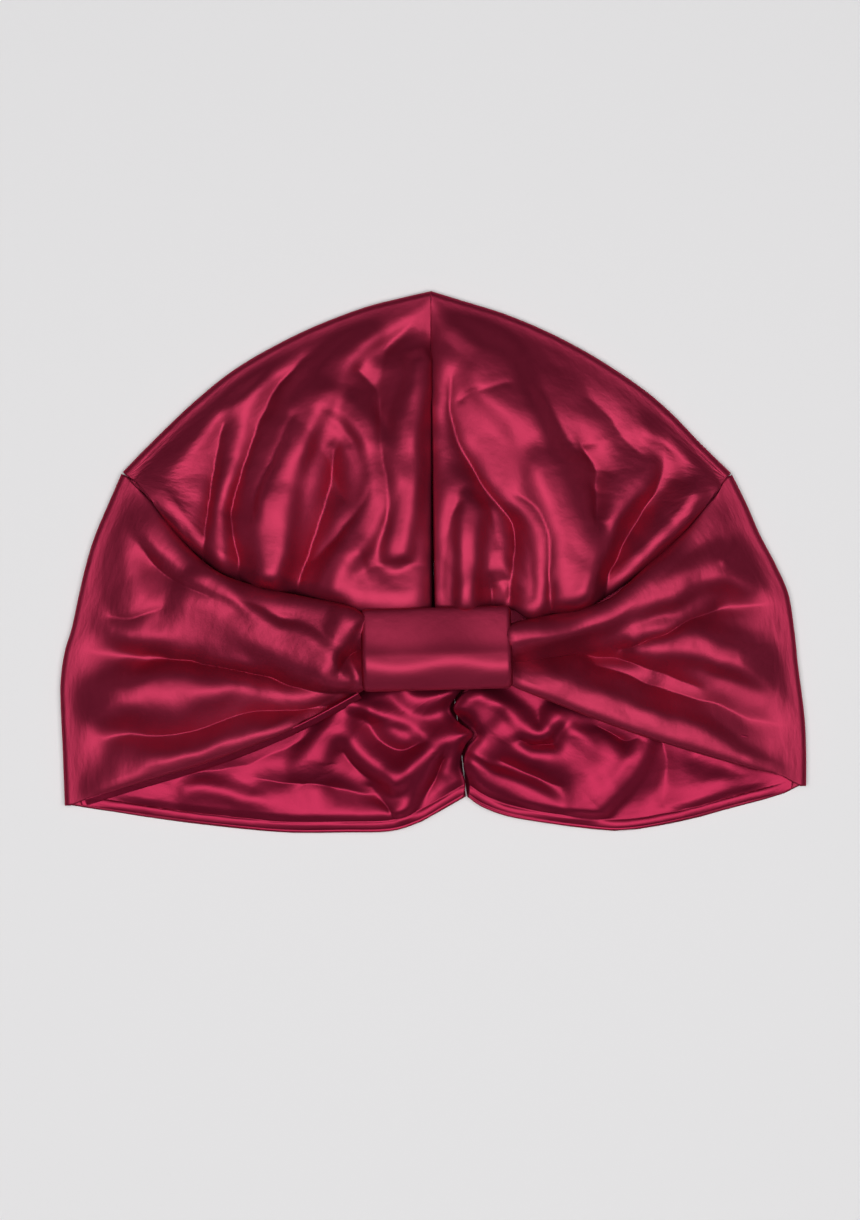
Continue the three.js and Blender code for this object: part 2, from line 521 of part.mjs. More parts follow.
// The edge of the lining that shows as a narrow strip below the left hem of the band.
function facingStrip(half) {
  const { side, hem } = curvesOf(half);
  const rows = [];
  for (let i = 0; i <= FACING_STEPS; i++) {
    const a = lerp(FACING_RUN.from, FACING_RUN.to, i / FACING_STEPS);
    const row = [0, 0.5, 1].map((b) => {
      const place = beside(hem, side * (SEAM_GAP + CLOTH / 2 + b * FACING_WIDTH))(a);
      const height = hemHeight(a) - b * CLOTH;
      return { point: new THREE.Vector3(place.x, place.y, height), half: CLOTH / 3 };
    });
    rows.push(row);
  }
  return wall(rows);
}

// The loop round the gathered band: a flattened tube across the middle of the front.
function wrapTube() {
  const ring = (width, height) =>
    Array.from({ length: WRAP_SIDES }, (_, i) => {
      const turn = (2 * Math.PI * i) / WRAP_SIDES;
      const power = 2 / WRAP_SQUARENESS;
      const part = (value) => Math.sign(value) * Math.abs(value) ** power;
      return new THREE.Vector2((part(Math.cos(turn)) * width) / 2, (part(Math.sin(turn)) * height) / 2);
    });
  const section = new THREE.Shape(ring(WRAP_WIDTH, WRAP_HEIGHT));
  section.holes.push(new THREE.Path(ring(WRAP_WIDTH - 2 * CLOTH, WRAP_HEIGHT - 2 * CLOTH)));
  const tube = new THREE.ExtrudeGeometry(section, { depth: WRAP_LENGTH, bevelEnabled: false });
  return tube.translate(0, 0, -WRAP_LENGTH / 2).rotateX(Math.PI / 2).rotateZ(Math.PI / 2);
}

// Wine red satin. The lining is the same cloth seen from inside.
const satin = new THREE.MeshStandardMaterial({ color: 0x9c2547, roughness: 0.38, metalness: 0.1 });
const satinLining = new THREE.MeshStandardMaterial({ color: 0x8c1f3d, roughness: 0.4, metalness: 0.1 });

const bonnet = new THREE.Group();

function add(name, geometry, material) {
  const mesh = new THREE.Mesh(geometry, material);
  mesh.name = name;
  bonnet.add(mesh);
  return mesh;
}

for (const [name, half] of Object.entries(HALVES)) {
  const suffix = name === "left" ? "Left" : "Right";
  add(`crown_${name}`, crownShell(half, FOLDS[`crown${suffix}`]), satin);
  add(`band_${name}`, bandShell(half, FOLDS[`band${suffix}`]), satin);
  add(`lining_${name}`, liningShell(half, FOLDS[`lining${suffix}`]), satinLining);
}
add("lining_facing", facingStrip(HALVES.left), satinLining);
const wrap = add("wrap", wrapTube(), satin);
wrap.position.set(wrapPlace.x, wrapPlace.y, WRAP_CENTRE);
wrap.rotation.z = wrapTurn;

export default bonnet;
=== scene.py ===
from collections import namedtuple

import bpy
import numpy as np
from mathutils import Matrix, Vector


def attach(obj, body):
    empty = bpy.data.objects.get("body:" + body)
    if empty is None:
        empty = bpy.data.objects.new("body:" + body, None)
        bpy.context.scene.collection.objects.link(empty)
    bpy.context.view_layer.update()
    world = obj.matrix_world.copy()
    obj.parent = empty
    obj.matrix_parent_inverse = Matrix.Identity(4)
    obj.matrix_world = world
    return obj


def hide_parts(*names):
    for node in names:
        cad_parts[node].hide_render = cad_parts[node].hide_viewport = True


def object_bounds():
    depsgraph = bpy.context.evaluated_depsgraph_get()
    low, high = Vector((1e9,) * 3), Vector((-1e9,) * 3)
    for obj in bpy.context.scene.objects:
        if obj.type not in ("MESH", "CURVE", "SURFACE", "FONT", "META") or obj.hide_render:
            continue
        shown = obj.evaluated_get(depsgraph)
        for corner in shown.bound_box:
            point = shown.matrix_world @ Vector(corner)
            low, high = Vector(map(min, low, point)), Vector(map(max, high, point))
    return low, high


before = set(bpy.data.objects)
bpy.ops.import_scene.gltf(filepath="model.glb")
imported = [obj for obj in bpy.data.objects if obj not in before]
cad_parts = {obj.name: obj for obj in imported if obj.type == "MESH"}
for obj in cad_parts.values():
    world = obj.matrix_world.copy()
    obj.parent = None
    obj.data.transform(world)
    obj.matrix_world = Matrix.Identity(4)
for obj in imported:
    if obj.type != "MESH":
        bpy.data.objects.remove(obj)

# A wine red satin sleep bonnet in the shape of a turban, lying on its back, seen from above.
# Every panel is one sheet of cloth: it starts at the front, turns round the folded outline and goes
# on over the back. Folds are strokes that raise or sink the sheet along a line.

CAD_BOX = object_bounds()
MM = 0.001
HALF_WIDTH = (CAD_BOX[1][0] - CAD_BOX[0][0]) / 2
HALF_LENGTH = (CAD_BOX[1][1] - CAD_BOX[0][1]) / 2

# The cloth and its folded outline
CLOTH = 1.1 * MM
EDGE_THICKNESS = 5 * MM  # both walls and the air between them
BACK_Z = CLOTH / 2  # mid-surface of the back
FRONT_EDGE = EDGE_THICKNESS - CLOTH / 2  # mid-surface of the front at the outline
FOLD_RADIUS = (FRONT_EDGE - BACK_Z) / 2
FOLD_INSET = FOLD_RADIUS + CLOTH / 2
SEAM_GAP = 0.14 * MM  # between the two halves
BAND_RISE = 0.47  # how far up the back's centre seam the band goes
BACK_BOW = 5.5 * MM  # how far the seam of crown and band bows down on the back

# How the front stands up
CROWN_LOFT = 25 * MM  # height well inside the outline
CROWN_LOFT_RUN = 58 * MM  # how far in the cloth has swelled to two thirds
CROWN_FOLD_START = 15 * MM  # how far in the folds have their full height
BAND_LOFT = 24 * MM
BAND_LOFT_RUN = 85 * MM
BAND_FOLD_START = 22 * MM
RIM_RUN = 4 * MM  # width over which the cloth leaves the folded outline
FOLD_MOST = 14 * MM  # the most that crossing folds rise together
FOLD_VARIETY = 0.1  # how unevenly one fold rises along its run
VALLEY_CREST = 1.2  # how sharp a hollow is
SETTLE = 0.9 * MM  # how softly a hollow comes to rest on what lies below
CROWN_CRUMPLE = 0.45 * MM
BAND_CRUMPLE = 0.4 * MM

# The wrap, and the band's mouth inside it
WRAP_LENGTH = 59 * MM
WRAP_WIDTH = 33 * MM
WRAP_HEIGHT = 18 * MM
WRAP_CENTRE = 22 * MM
WRAP_TURN = np.radians(1.5)
WRAP_SQUARENESS = 2.6  # 2 is an oval section, more is squarer
WRAP_END_TURN = 1.6 * MM  # radius of the turned-in ends
WRAP_END_SHARPNESS = 40
WRAP_RIDGE = 2.2 * MM  # the soft ridge along its lower half
WRAP_RIDGE_PLACE = -7 * MM
WRAP_RIDGE_WIDTH = 6 * MM
WRAP_RIDGE_SWAY = 1.3 * MM
WRAP_SLOPE = 0.24  # of its upper half, down towards the crown
WRAP_SLOPE_START = -2 * MM
WRAP_SINK = 1.2 * MM
WRAP_RIPPLE = 0.3 * MM
MOUTH = 0.9  # share of the band's run at which it enters the wrap
MOUTH_INSET = 1 * MM
MOUTH_ROOM = WRAP_WIDTH / 2 - 2 * MM
BUNDLE_INSET = 10 * MM  # how far inside the wrap the band's cloth ends
BUNDLE_ROOM = WRAP_WIDTH / 2 - 3 * MM
BUNDLE_HEIGHT = WRAP_HEIGHT / 2 - 4.5 * MM
BUNDLE_SQUARENESS = 2.4
GATHER_RUN = 0.25  # share of the band's run over which it gathers

# The crown's centre seam, and its edge beside the wrap and the band
PUCKER = 0.35 * MM
PUCKER_PITCH = 3.1 * MM
PUCKER_DRIFT = 11 * MM
PUCKER_START = 10 * MM
SEAM_ROUND_DEPTH = 2.6 * MM
SEAM_ROUND_WIDTH = 4 * MM
SEAM_ROUND_START = 6 * MM
GROOVE_DEPTH = 3.2 * MM
GROOVE_WIDTH = 4.5 * MM
GROOVE_START = 14 * MM
CROWN_WRAP_LAP = 0.5 * MM  # how far the crown goes under the wrap
CROWN_WRAP_END = 2.5 * MM  # and beside the wrap's end
CROWN_SEAM_INSET = 1.6 * MM
CROWN_SEAM_STOPS = (0.92, 0.85, 0.7, 0.5, 0.3, 0.16, 0.06)  # shares of the seam with the band
CROWN_EDGE_WIDTH = 7 * MM  # the round edge that turns down
CROWN_LIP_DROP = 5 * MM  # beside the wrap
CROWN_SEAM_DROP = 9 * MM  # beside the band
CROWN_LIP_BULGE = 1.2 * MM

# The band's edges
BAND_SEAM_WIDTH = 6 * MM
BAND_SEAM_BULGE = 0.8 * MM
BAND_SEAM_DROP = 8 * MM
HEM_LIFT = 17 * MM  # the lower hem beside the wrap
HEM_CURVE = 0.7
HEM_REACH = 15 * MM  # how far in the cloth slopes down to the hem
HEM_SHARE = 0.55  # how much of the way
HEM_WIDTH = 3.2 * MM
HEM_BULGE = 0.3 * MM
HEM_DROP = 4 * MM

# The lining
LINING_FLOOR = 2.6 * MM  # mid-height where it lies flat on the back
LINING_MOST = 9.5 * MM
LINING_CRUMPLE = 0.4 * MM
LINING_RISE = 5 * MM  # how far it bellies up inside the nape hem
LINING_RISE_RUN = 30 * MM
LINING_FOLD_START = 7 * MM
LINING_SEAM_INSET = 0.8 * MM
LINING_SEAM_DEPTH = 2.5 * MM
LINING_SEAM_WIDTH = 2.5 * MM
LINING_SEAM_START = 8 * MM
LINING_CORNER = (0.04, 0.86)  # its lower corner along the hem, its upper one along the band's outline
NAPE_INSET = 1.2 * MM
NAPE_EDGE_WIDTH = 3.2 * MM  # the sewn edge
NAPE_EDGE_HEIGHT = 1.1 * MM
FACING_RUN = (0.06, 0.97)  # shares of the left hem
FACING_WIDTH = (0.2 * MM, 2.8 * MM)  # past the hem, from its first edge to its last
FACING_DROP = (0.5 * MM, 2.6 * MM)  # below the hem, the same
FACING_WAVE = 0.3 * MM
FACING_LOWEST = 3.4 * MM

# How finely each sheet is divided: across, along the front, round the folded edge and along the back.
CROWN_GRID = (150, 130, 7, 12)
BAND_GRID = (140, 150, 7, 16)
LINING_GRID = (190, 120)
WRAP_GRID = (150, 64)
FACING_GRID = (160, 8)
OUTLINE_STEPS = 80
LINING_STEPS = 120
EDGE_STEPS = 160
WAVE_COUNT = 9  # sine waves in one unevenness

# The photograph's frame
PHOTO_HEIGHT = 1220  # pixels
PIXEL = 0.4032 * MM  # the length that one pixel shows
CAMERA_PLACE = (-1.6 * MM, -19.4 * MM)
CAMERA_DISTANCE = 1.6
SENSOR = 36

# Satin: the sizes that its patterns have on the cloth
THREAD_WIDTH = 0.385 * MM  # coarser than real thread, so that it shows
THREAD_FLOAT = 1.43 * MM
THREAD_HEIGHT = 0.2 * MM
CREASE_LENGTH = 8.333 * MM
CREASE_HEIGHT = 0.8 * MM
TONE_LENGTH = 33.33 * MM

# A softbox. size is its width and length in metres, and power is in watts.
Softbox = namedtuple("Softbox", "name place size power")
SOFTBOXES = [
    Softbox("near_softbox", (0, -0.2, 2.3), (2.8, 1.6), 62),
    Softbox("left_softbox", (-1.9, 0.5, 1.5), (0.9, 0.9), 1.0),
    Softbox("right_softbox", (1.9, 0.5, 1.5), (0.9, 0.9), 1.0),
]

# The size that a panel was cut to: its width and length in metres, and its area in square metres.
Cut = namedtuple("Cut", "flat area")

# Places are shares of the half width and the half length, from the middle of the bonnet.
WRAP_PLACE = (0.007, -0.319)
GATHER_EDGE = (0.086, -0.867)  # of the nape hem
LEFT, RIGHT = -1, 1
CROWN_OUTLINE = {
    LEFT: [(-0.008, 1), (-0.078, 0.978), (-0.199, 0.934), (-0.36, 0.845), (-0.522, 0.723),
           (-0.642, 0.594), (-0.763, 0.435), (-0.836, 0.332)],
    RIGHT: [(-0.008, 1), (0.07, 0.967), (0.191, 0.915), (0.312, 0.845), (0.433, 0.756), (0.554, 0.646),
            (0.634, 0.554), (0.715, 0.439), (0.798, 0.328)],
}
BAND_OUTLINE = {
    LEFT: [(-0.84, 0.325), (-0.876, 0.21), (-0.911, 0.096), (-0.935, -0.011), (-0.954, -0.122),
           (-0.973, -0.244), (-0.992, -0.332), (-1.003, -0.435), (-1.003, -0.528), (-0.997, -0.712),
           (-0.992, -0.9)],
    RIGHT: [(0.801, 0.322), (0.841, 0.21), (0.876, 0.1), (0.917, -0.007), (0.952, -0.118),
            (0.968, -0.251), (0.978, -0.38), (0.995, -0.565), (1, -0.694), (1, -0.827)],
}
# The seam of crown and band, the band's lower hem and the nape hem, each from the side inwards
SEAM = {
    LEFT: [(-0.841, 0.336), (-0.763, 0.218), (-0.669, 0.052), (-0.581, -0.048), (-0.481, -0.1),
           (-0.347, -0.14), (-0.239, -0.17)],
    RIGHT: [(0.804, 0.314), (0.75, 0.229), (0.683, 0.111), (0.581, -0.015), (0.478, -0.14),
            (0.387, -0.185), (0.285, -0.214)],
}
HEM = {
    LEFT: [(-0.987, -0.893), (-0.817, -0.819), (-0.629, -0.742), (-0.481, -0.668), (-0.36, -0.594),
           (-0.253, -0.517)],
    RIGHT: [(1, -0.827), (0.917, -0.779), (0.809, -0.738), (0.688, -0.69), (0.551, -0.631),
            (0.441, -0.576), (0.317, -0.509)],
}
NAPE_HEM = {
    LEFT: [(-0.992, -0.9), (-0.884, -0.919), (-0.763, -0.945), (-0.602, -0.974), (-0.401, -1),
           (-0.239, -1), (-0.118, -0.996), (-0.038, -0.963), (0.03, -0.911), (0.086, -0.867)],
    RIGHT: [(1, -0.827), (0.917, -0.867), (0.796, -0.911), (0.675, -0.956), (0.513, -0.993),
            (0.392, -0.982), (0.272, -0.959), (0.191, -0.937), (0.129, -0.904), (0.089, -0.867)],
}
# Where seam and hem end at the wrap, as shares of half its room
MOUTH_ENDS = {LEFT: (0.94, -1), RIGHT: (0.57, -1)}
BACK_SEAM = [GATHER_EDGE, (0.048, -0.435), (-0.003, 0.007), (-0.008, 0.989)]
LINING_SEAM = [GATHER_EDGE, (0.089, -0.812), (0.075, -0.745), (0.086, -0.679), (0.11, -0.631),
               (0.073, -0.59), (0.048, -0.539), (0.07, -0.487), (0.108, -0.435), (0.097, -0.306)]

# A fold. run is its line, rise its height in millimetres and left and right its widths there, in
# millimetres, each from the run's start to its end. A negative rise is a hollow. crest is 2 for a
# round fold, more for one with a broad flat top and less for a sharp one.
Fold = namedtuple("Fold", "run rise left right crest", defaults=(2.0,))

CROWN_FOLDS = {
    LEFT: [
        Fold([(-0.597, -0.022), (-0.669, 0.107), (-0.742, 0.218), (-0.823, 0.332)],
             (1.4, 1), (3.6, 4.3), (5.8, 6.6)),
        Fold([(-0.608, -0.015), (-0.642, 0.081), (-0.677, 0.173)], (-1.5, -0.3), (2, 3), (3, 3)),
        Fold([(-0.61, 0), (-0.61, 0.155), (-0.602, 0.339), (-0.57, 0.506)],
             (-7, -6, -5, -3), (5, 6), (5, 6), 1.5),
        Fold([(-0.737, 0.229), (-0.704, 0.413), (-0.629, 0.561), (-0.495, 0.708)],
             (2.9, 3.2, 2.9), (8, 9), (8, 9), 3.2),
        Fold([(-0.591, -0.044), (-0.573, 0.063), (-0.556, 0.21), (-0.543, 0.339), (-0.513, 0.487),
              (-0.468, 0.624)],
             (2.5, 2.5, 1.6, 0.8), (5.8, 8.8), (4.3, 6.6)),
        Fold([(-0.532, -0.103), (-0.532, 0.044), (-0.527, 0.192), (-0.505, 0.347), (-0.468, 0.494),
              (-0.406, 0.642), (-0.339, 0.738)],
             (-9, -9, -6, -4, -3), (6, 6, 5, 5), (7, 6, 5, 5), 1.6),
        Fold([(-0.473, 0.229), (-0.46, 0.358), (-0.433, 0.469), (-0.395, 0.554)],
             (0.4, 0.8, 0.6), (5.8, 5.8), (2.9, 2.9)),
        Fold([(-0.462, 0.155), (-0.452, 0.266), (-0.435, 0.376), (-0.409, 0.48), (-0.379, 0.539)],
             (-1.2, -2.1, -0.9), (2, 2.5), (2, 2.5), 1.6),
        Fold([(-0.452, -0.111), (-0.438, 0.063), (-0.417, 0.229), (-0.398, 0.376), (-0.368, 0.506),
              (-0.309, 0.642), (-0.245, 0.764), (-0.188, 0.875)],
             (4.3, 4.3, 4.3, 4, 3.6, 3), (6, 7, 7), (7, 8, 8), 3.2),
        Fold([(-0.024, 0.9), (-0.078, 0.856), (-0.129, 0.782), (-0.151, 0.653)],
             (-2.5, -3, -3, -2), (7, 8), (7, 8)),
        Fold([(-0.368, -0.162), (-0.355, -0.037), (-0.325, 0.081), (-0.29, 0.199), (-0.266, 0.31),
              (-0.261, 0.406)],
             (-10, -10, -8, -6, -4), (7, 7, 6), (8, 8, 7), 1.6),
        Fold([(-0.237, 0.229), (-0.258, 0.339), (-0.301, 0.413)], (-2, -2.5, -1), (6, 7), (5, 5)),
        Fold([(-0.347, 0.048), (-0.28, 0.111), (-0.226, 0.192), (-0.199, 0.284), (-0.22, 0.384),
              (-0.266, 0.458), (-0.312, 0.506)],
             (0.4, 1.2, 1.6, 1.4, 0.6), (5.8, 6.6), (3.6, 4.3)),
        Fold([(-0.32, -0.004), (-0.253, 0.089), (-0.204, 0.192), (-0.175, 0.266)],
             (-1.5, -2.1, -0.6), (1.8, 2), (1.8, 2), 1.6),
        Fold([(-0.29, -0.111), (-0.253, 0), (-0.199, 0.118), (-0.159, 0.244), (-0.142, 0.358),
              (-0.164, 0.465), (-0.22, 0.542), (-0.293, 0.59)],
             (2.2, 4, 4.3, 4.3, 4, 2.9, 1.6), (5, 6), (7, 7), 3.2),
        Fold([(-0.134, 0.155), (-0.129, 0.339), (-0.134, 0.487), (-0.156, 0.616), (-0.204, 0.701)],
             (-2, -3.5, -3.5, -3), (4, 5), (4, 6)),
        Fold([(-0.089, 0.052), (-0.081, 0.21), (-0.07, 0.395), (-0.054, 0.554), (-0.04, 0.701)],
             (3.4, 4, 4, 3), (6.5, 6), (6, 5), 3.2),
        Fold([(-0.239, -0.14), (-0.226, -0.059), (-0.194, 0.037)],
             (2.2, 1.8, 0.7), (6, 6), (7, 7), 3.2),
        Fold([(-0.194, 0.037), (-0.185, -0.011), (-0.177, -0.063)],
             (0.6, 0.2), (1.2, 1.6), (2.5, 2.5), 1.5),
        Fold([(-0.022, -0.015), (-0.078, 0.007), (-0.145, 0), (-0.212, -0.037)],
             (-1, -1.8, -1.8, -1), (7, 7), (7, 7)),
        Fold([(-0.535, 0.59), (-0.462, 0.701), (-0.36, 0.812)], (1.5, 2, 1.5), (7, 8), (6, 7)),
        Fold([(-0.105, 0.801), (-0.051, 0.875), (-0.027, 0.93)], (-2, -2.5, -1), (8, 8), (8, 8)),
    ],
    RIGHT: [
        Fold([(0.478, -0.14), (0.532, -0.041), (0.608, 0.055), (0.659, 0.133), (0.683, 0.218),
              (0.728, 0.273), (0.79, 0.325)],
             (1.6, 1.4, 1), (4.3, 4.3), (2.9, 4.3)),
        Fold([(0.452, -0.155), (0.476, -0.048), (0.513, 0.063), (0.562, 0.173), (0.605, 0.292),
              (0.613, 0.421)],
             (-9, -9, -8.5, -7, -4), (6, 7, 8), (6, 8, 8), 1.6),
        Fold([(0.401, -0.155), (0.43, -0.066), (0.457, 0.044), (0.481, 0.14), (0.519, 0.214),
              (0.559, 0.262)],
             (4.8, 4.1, 3.4, 2), (7.7, 9.9), (4.3, 4.3)),
        Fold([(0.586, 0.229), (0.575, 0.339), (0.543, 0.45), (0.522, 0.524)],
             (0.6, 0.7, 0.4), (4.3, 5.8), (4.3, 5.8)),
        Fold([(0.691, 0.247), (0.688, 0.358), (0.672, 0.469), (0.64, 0.561)],
             (1.7, 1.7, 1), (5.1, 5.8), (5.1, 5.8)),
        Fold([(0.425, 0.148), (0.419, 0.247), (0.427, 0.339), (0.401, 0.432)],
             (-4, -8, -7, -3), (6, 7), (6, 7), 1.6),
        Fold([(0.384, 0.461), (0.401, 0.395), (0.425, 0.347), (0.462, 0.303)],
             (0.6, 0.7, 0.3), (2, 2), (3, 3), 1.6),
        Fold([(0.374, -0.155), (0.374, -0.011), (0.347, 0.155), (0.309, 0.321), (0.239, 0.506),
              (0.172, 0.672), (0.124, 0.856)],
             (4.3, 5, 5, 5, 4.3, 3.6), (11, 11), (11, 11), 3.2),
        Fold([(0.22, -0.103), (0.218, 0.026), (0.194, 0.155), (0.145, 0.273), (0.091, 0.384),
              (0.056, 0.524), (0.038, 0.672)],
             (-6, -7, -6, -5, -4, -2), (4.5, 4.5), (4.5, 4.5), 1.5),
        Fold([(0.081, 0.59), (0.118, 0.624), (0.194, 0.657)], (-0.7, -0.4), (1.3, 1.3), (2, 2), 1.6),
        Fold([(0.019, -0.129), (0.024, 0.026), (0.04, 0.137), (0.075, 0.21), (0.134, 0.251)],
             (-1.4, -1.4, -1.1, -0.5), (3, 3), (4, 4)),
        Fold([(0.086, -0.148), (0.086, -0.011), (0.086, 0.1), (0.102, 0.199)],
             (4.3, 4.3, 3.6), (5, 5), (6, 6), 3.2),
        Fold([(0.005, -0.103), (0.008, 0.044), (0.019, 0.155), (0.048, 0.247), (0.108, 0.303),
              (0.177, 0.288)],
             (0.4, 0.7, 0.8, 0.6), (4, 6), (7, 9)),
        Fold([(0.298, -0.14), (0.306, -0.03), (0.298, 0.081), (0.269, 0.185), (0.22, 0.258)],
             (-2.1, -2.1, -1.8, -0.6), (2.5, 2.5), (3, 3)),
        Fold([(0.25, -0.229), (0.274, -0.122), (0.277, -0.011), (0.261, 0.1), (0.226, 0.185),
              (0.172, 0.236)],
             (3.6, 3.4, 2.6, 1.6), (8, 9), (4.5, 6)),
        Fold([(0.242, -0.229), (0.263, -0.125), (0.263, -0.011), (0.242, 0.081), (0.204, 0.162)],
             (-0.8, -0.8, -0.6, -0.2), (2, 2.5), (2, 2.5)),
        Fold([(0.169, -0.192), (0.169, -0.103), (0.156, -0.03), (0.151, 0.037)],
             (-7.6, -6, -2.5, -0.5), (6.6, 6.6), (6.6, 6.6), 1.6),
        Fold([(0.21, -0.089), (0.223, -0.052), (0.199, 0.007), (0.18, 0.07), (0.159, 0.137)],
             (1.6, 1.9, 1.2, 0.6), (2.3, 2.9), (3.6, 4.3)),
        Fold([(0.14, 0.229), (0.153, 0.148), (0.169, 0.063)], (-1.5, -1.5, -0.6), (2.5, 3), (2.5, 3)),
        Fold([(0.306, -0.192), (0.309, -0.111), (0.317, -0.059)], (-2.1, -1.8, -0.6), (2.5, 3), (3, 3)),
        Fold([(0.285, 0.616), (0.339, 0.524), (0.379, 0.432)], (-1, -1.5, -1), (5, 6), (8, 8)),
        Fold([(0.594, 0.506), (0.688, 0.395), (0.758, 0.31)], (3, 4, 3), (8, 8), (6, 6), 3.2),
        Fold([(0.406, 0.598), (0.487, 0.506), (0.554, 0.413)], (-2.5, -3, -2), (8, 8), (8, 8)),
    ],
}
BAND_FOLDS = {
    LEFT: [
        Fold([(-0.239, -0.185), (-0.387, -0.151), (-0.522, -0.111), (-0.629, -0.044), (-0.737, 0.052),
              (-0.823, 0.185)],
             (1.4, 1.7, 2.4, 2.4), (4.3, 5.8), (4.3, 7.2)),
        Fold([(-0.602, -0.148), (-0.683, -0.092), (-0.75, -0.007), (-0.79, 0.063)],
             (-1, -3, -3, -1), (4, 5), (3, 4)),
        Fold([(-0.247, -0.421), (-0.312, -0.339), (-0.414, -0.251), (-0.522, -0.162), (-0.616, -0.103)],
             (4, 5, 5, 4), (10, 15), (5, 6), 3.4),
        Fold([(-0.79, -0.14), (-0.866, 0.007), (-0.898, 0.173)], (1.5, 3.5, 4), (9, 10), (8, 9), 3),
        Fold([(-0.858, -0.196), (-0.804, -0.177), (-0.731, -0.166)],
             (-1.8, -1.6, -0.6), (2, 2), (3, 3), 1.7),
        Fold([(-0.562, -0.306), (-0.683, -0.288), (-0.817, -0.258), (-0.938, -0.244)],
             (0.7, 2, 2.4, 2), (5.8, 7.2), (6.6, 6.6)),
        Fold([(-0.22, -0.465), (-0.36, -0.45), (-0.495, -0.421), (-0.629, -0.376), (-0.763, -0.354)],
             (-8, -8, -7, -6, -4), (4, 4), (2, 3), 1.5),
        Fold([(-0.629, -0.369), (-0.75, -0.354), (-0.871, -0.343), (-0.978, -0.351)],
             (-5, -7, -7), (5, 5), (5, 5), 1.5),
        Fold([(-0.535, -0.435), (-0.656, -0.45), (-0.79, -0.476), (-0.965, -0.517)],
             (1.5, 4, 6, 6), (9, 12), (8, 9), 3),
        Fold([(-0.231, -0.487), (-0.36, -0.528), (-0.522, -0.568), (-0.683, -0.613), (-0.884, -0.675)],
             (-11, -12, -9, -6, -5), (5, 6), (6, 7), 1.5),
        Fold([(-0.22, -0.472), (-0.293, -0.52), (-0.366, -0.568), (-0.409, -0.609), (-0.522, -0.642),
              (-0.683, -0.72), (-0.844, -0.786), (-0.965, -0.849)],
             (2, 3.1, 3.1, 2.7, 2.4, 2), (3.6, 4.3), (5.8, 7.2)),
        Fold([(-0.21, -0.199), (-0.239, -0.244), (-0.258, -0.306)],
             (2.2, 2.9, 2.2), (5, 5), (5, 5), 3.2),
        Fold([(-0.188, -0.325), (-0.226, -0.347), (-0.258, -0.384)], (-8, -8, -3), (4, 4), (4, 4), 1.5),
        Fold([(-0.188, -0.439), (-0.226, -0.45), (-0.266, -0.443), (-0.293, -0.406)],
             (2, 2.7, 2.7, 1.6), (3.6, 4.3), (4.3, 4.3)),
    ],
    RIGHT: [
        Fold([(0.21, -0.303), (0.298, -0.266), (0.392, -0.232), (0.5, -0.166), (0.608, -0.103),
              (0.742, -0.048), (0.917, -0.015)],
             (4, 5.5, 6, 6, 6), (7, 12), (5, 8), 3),
        Fold([(0.21, -0.258), (0.285, -0.247), (0.392, -0.214), (0.473, -0.162)],
             (-3, -2.5, -1.5, -0.5), (2.5, 3), (2, 3)),
        Fold([(0.495, -0.314), (0.594, -0.266), (0.702, -0.214), (0.796, -0.177)],
             (-3, -4.5, -4, -2), (2, 3), (2.5, 3), 1.5),
        Fold([(0.774, -0.181), (0.849, -0.155), (0.941, -0.14)],
             (-3.5, -4.5, -3.5), (6, 6), (6, 6), 1.5),
        Fold([(0.199, -0.365), (0.298, -0.362), (0.392, -0.351), (0.487, -0.351), (0.594, -0.391),
              (0.715, -0.465)],
             (-13, -13, -11, -9, -6, -3), (4, 6), (4, 6), 1.5),
        Fold([(0.435, -0.384), (0.581, -0.443), (0.715, -0.517), (0.957, -0.613)],
             (-4, -6, -5.5, -4.5), (6, 7), (6, 8), 1.5),
        Fold([(0.554, -0.288), (0.688, -0.299), (0.823, -0.351), (0.957, -0.435)],
             (2.9, 5, 5.8, 5.8), (7, 9), (7, 8), 3.2),
        Fold([(0.21, -0.399), (0.325, -0.443), (0.446, -0.517), (0.567, -0.576), (0.702, -0.649),
              (0.836, -0.738), (0.973, -0.815)],
             (3, 3, 2.7, 2.4, 1.9), (5.8, 5.8), (7.2, 5.8), 3.2),
        Fold([(0.785, 0), (0.809, 0.044), (0.817, 0.089)],
             (1.2, 1.2, 0.6), (1.5, 1.5), (2.5, 2.5), 1.6),
        Fold([(0.796, -0.288), (0.876, -0.303), (0.957, -0.288)], (-1.5, -2, -1.5), (4, 4), (4, 4)),
    ],
}
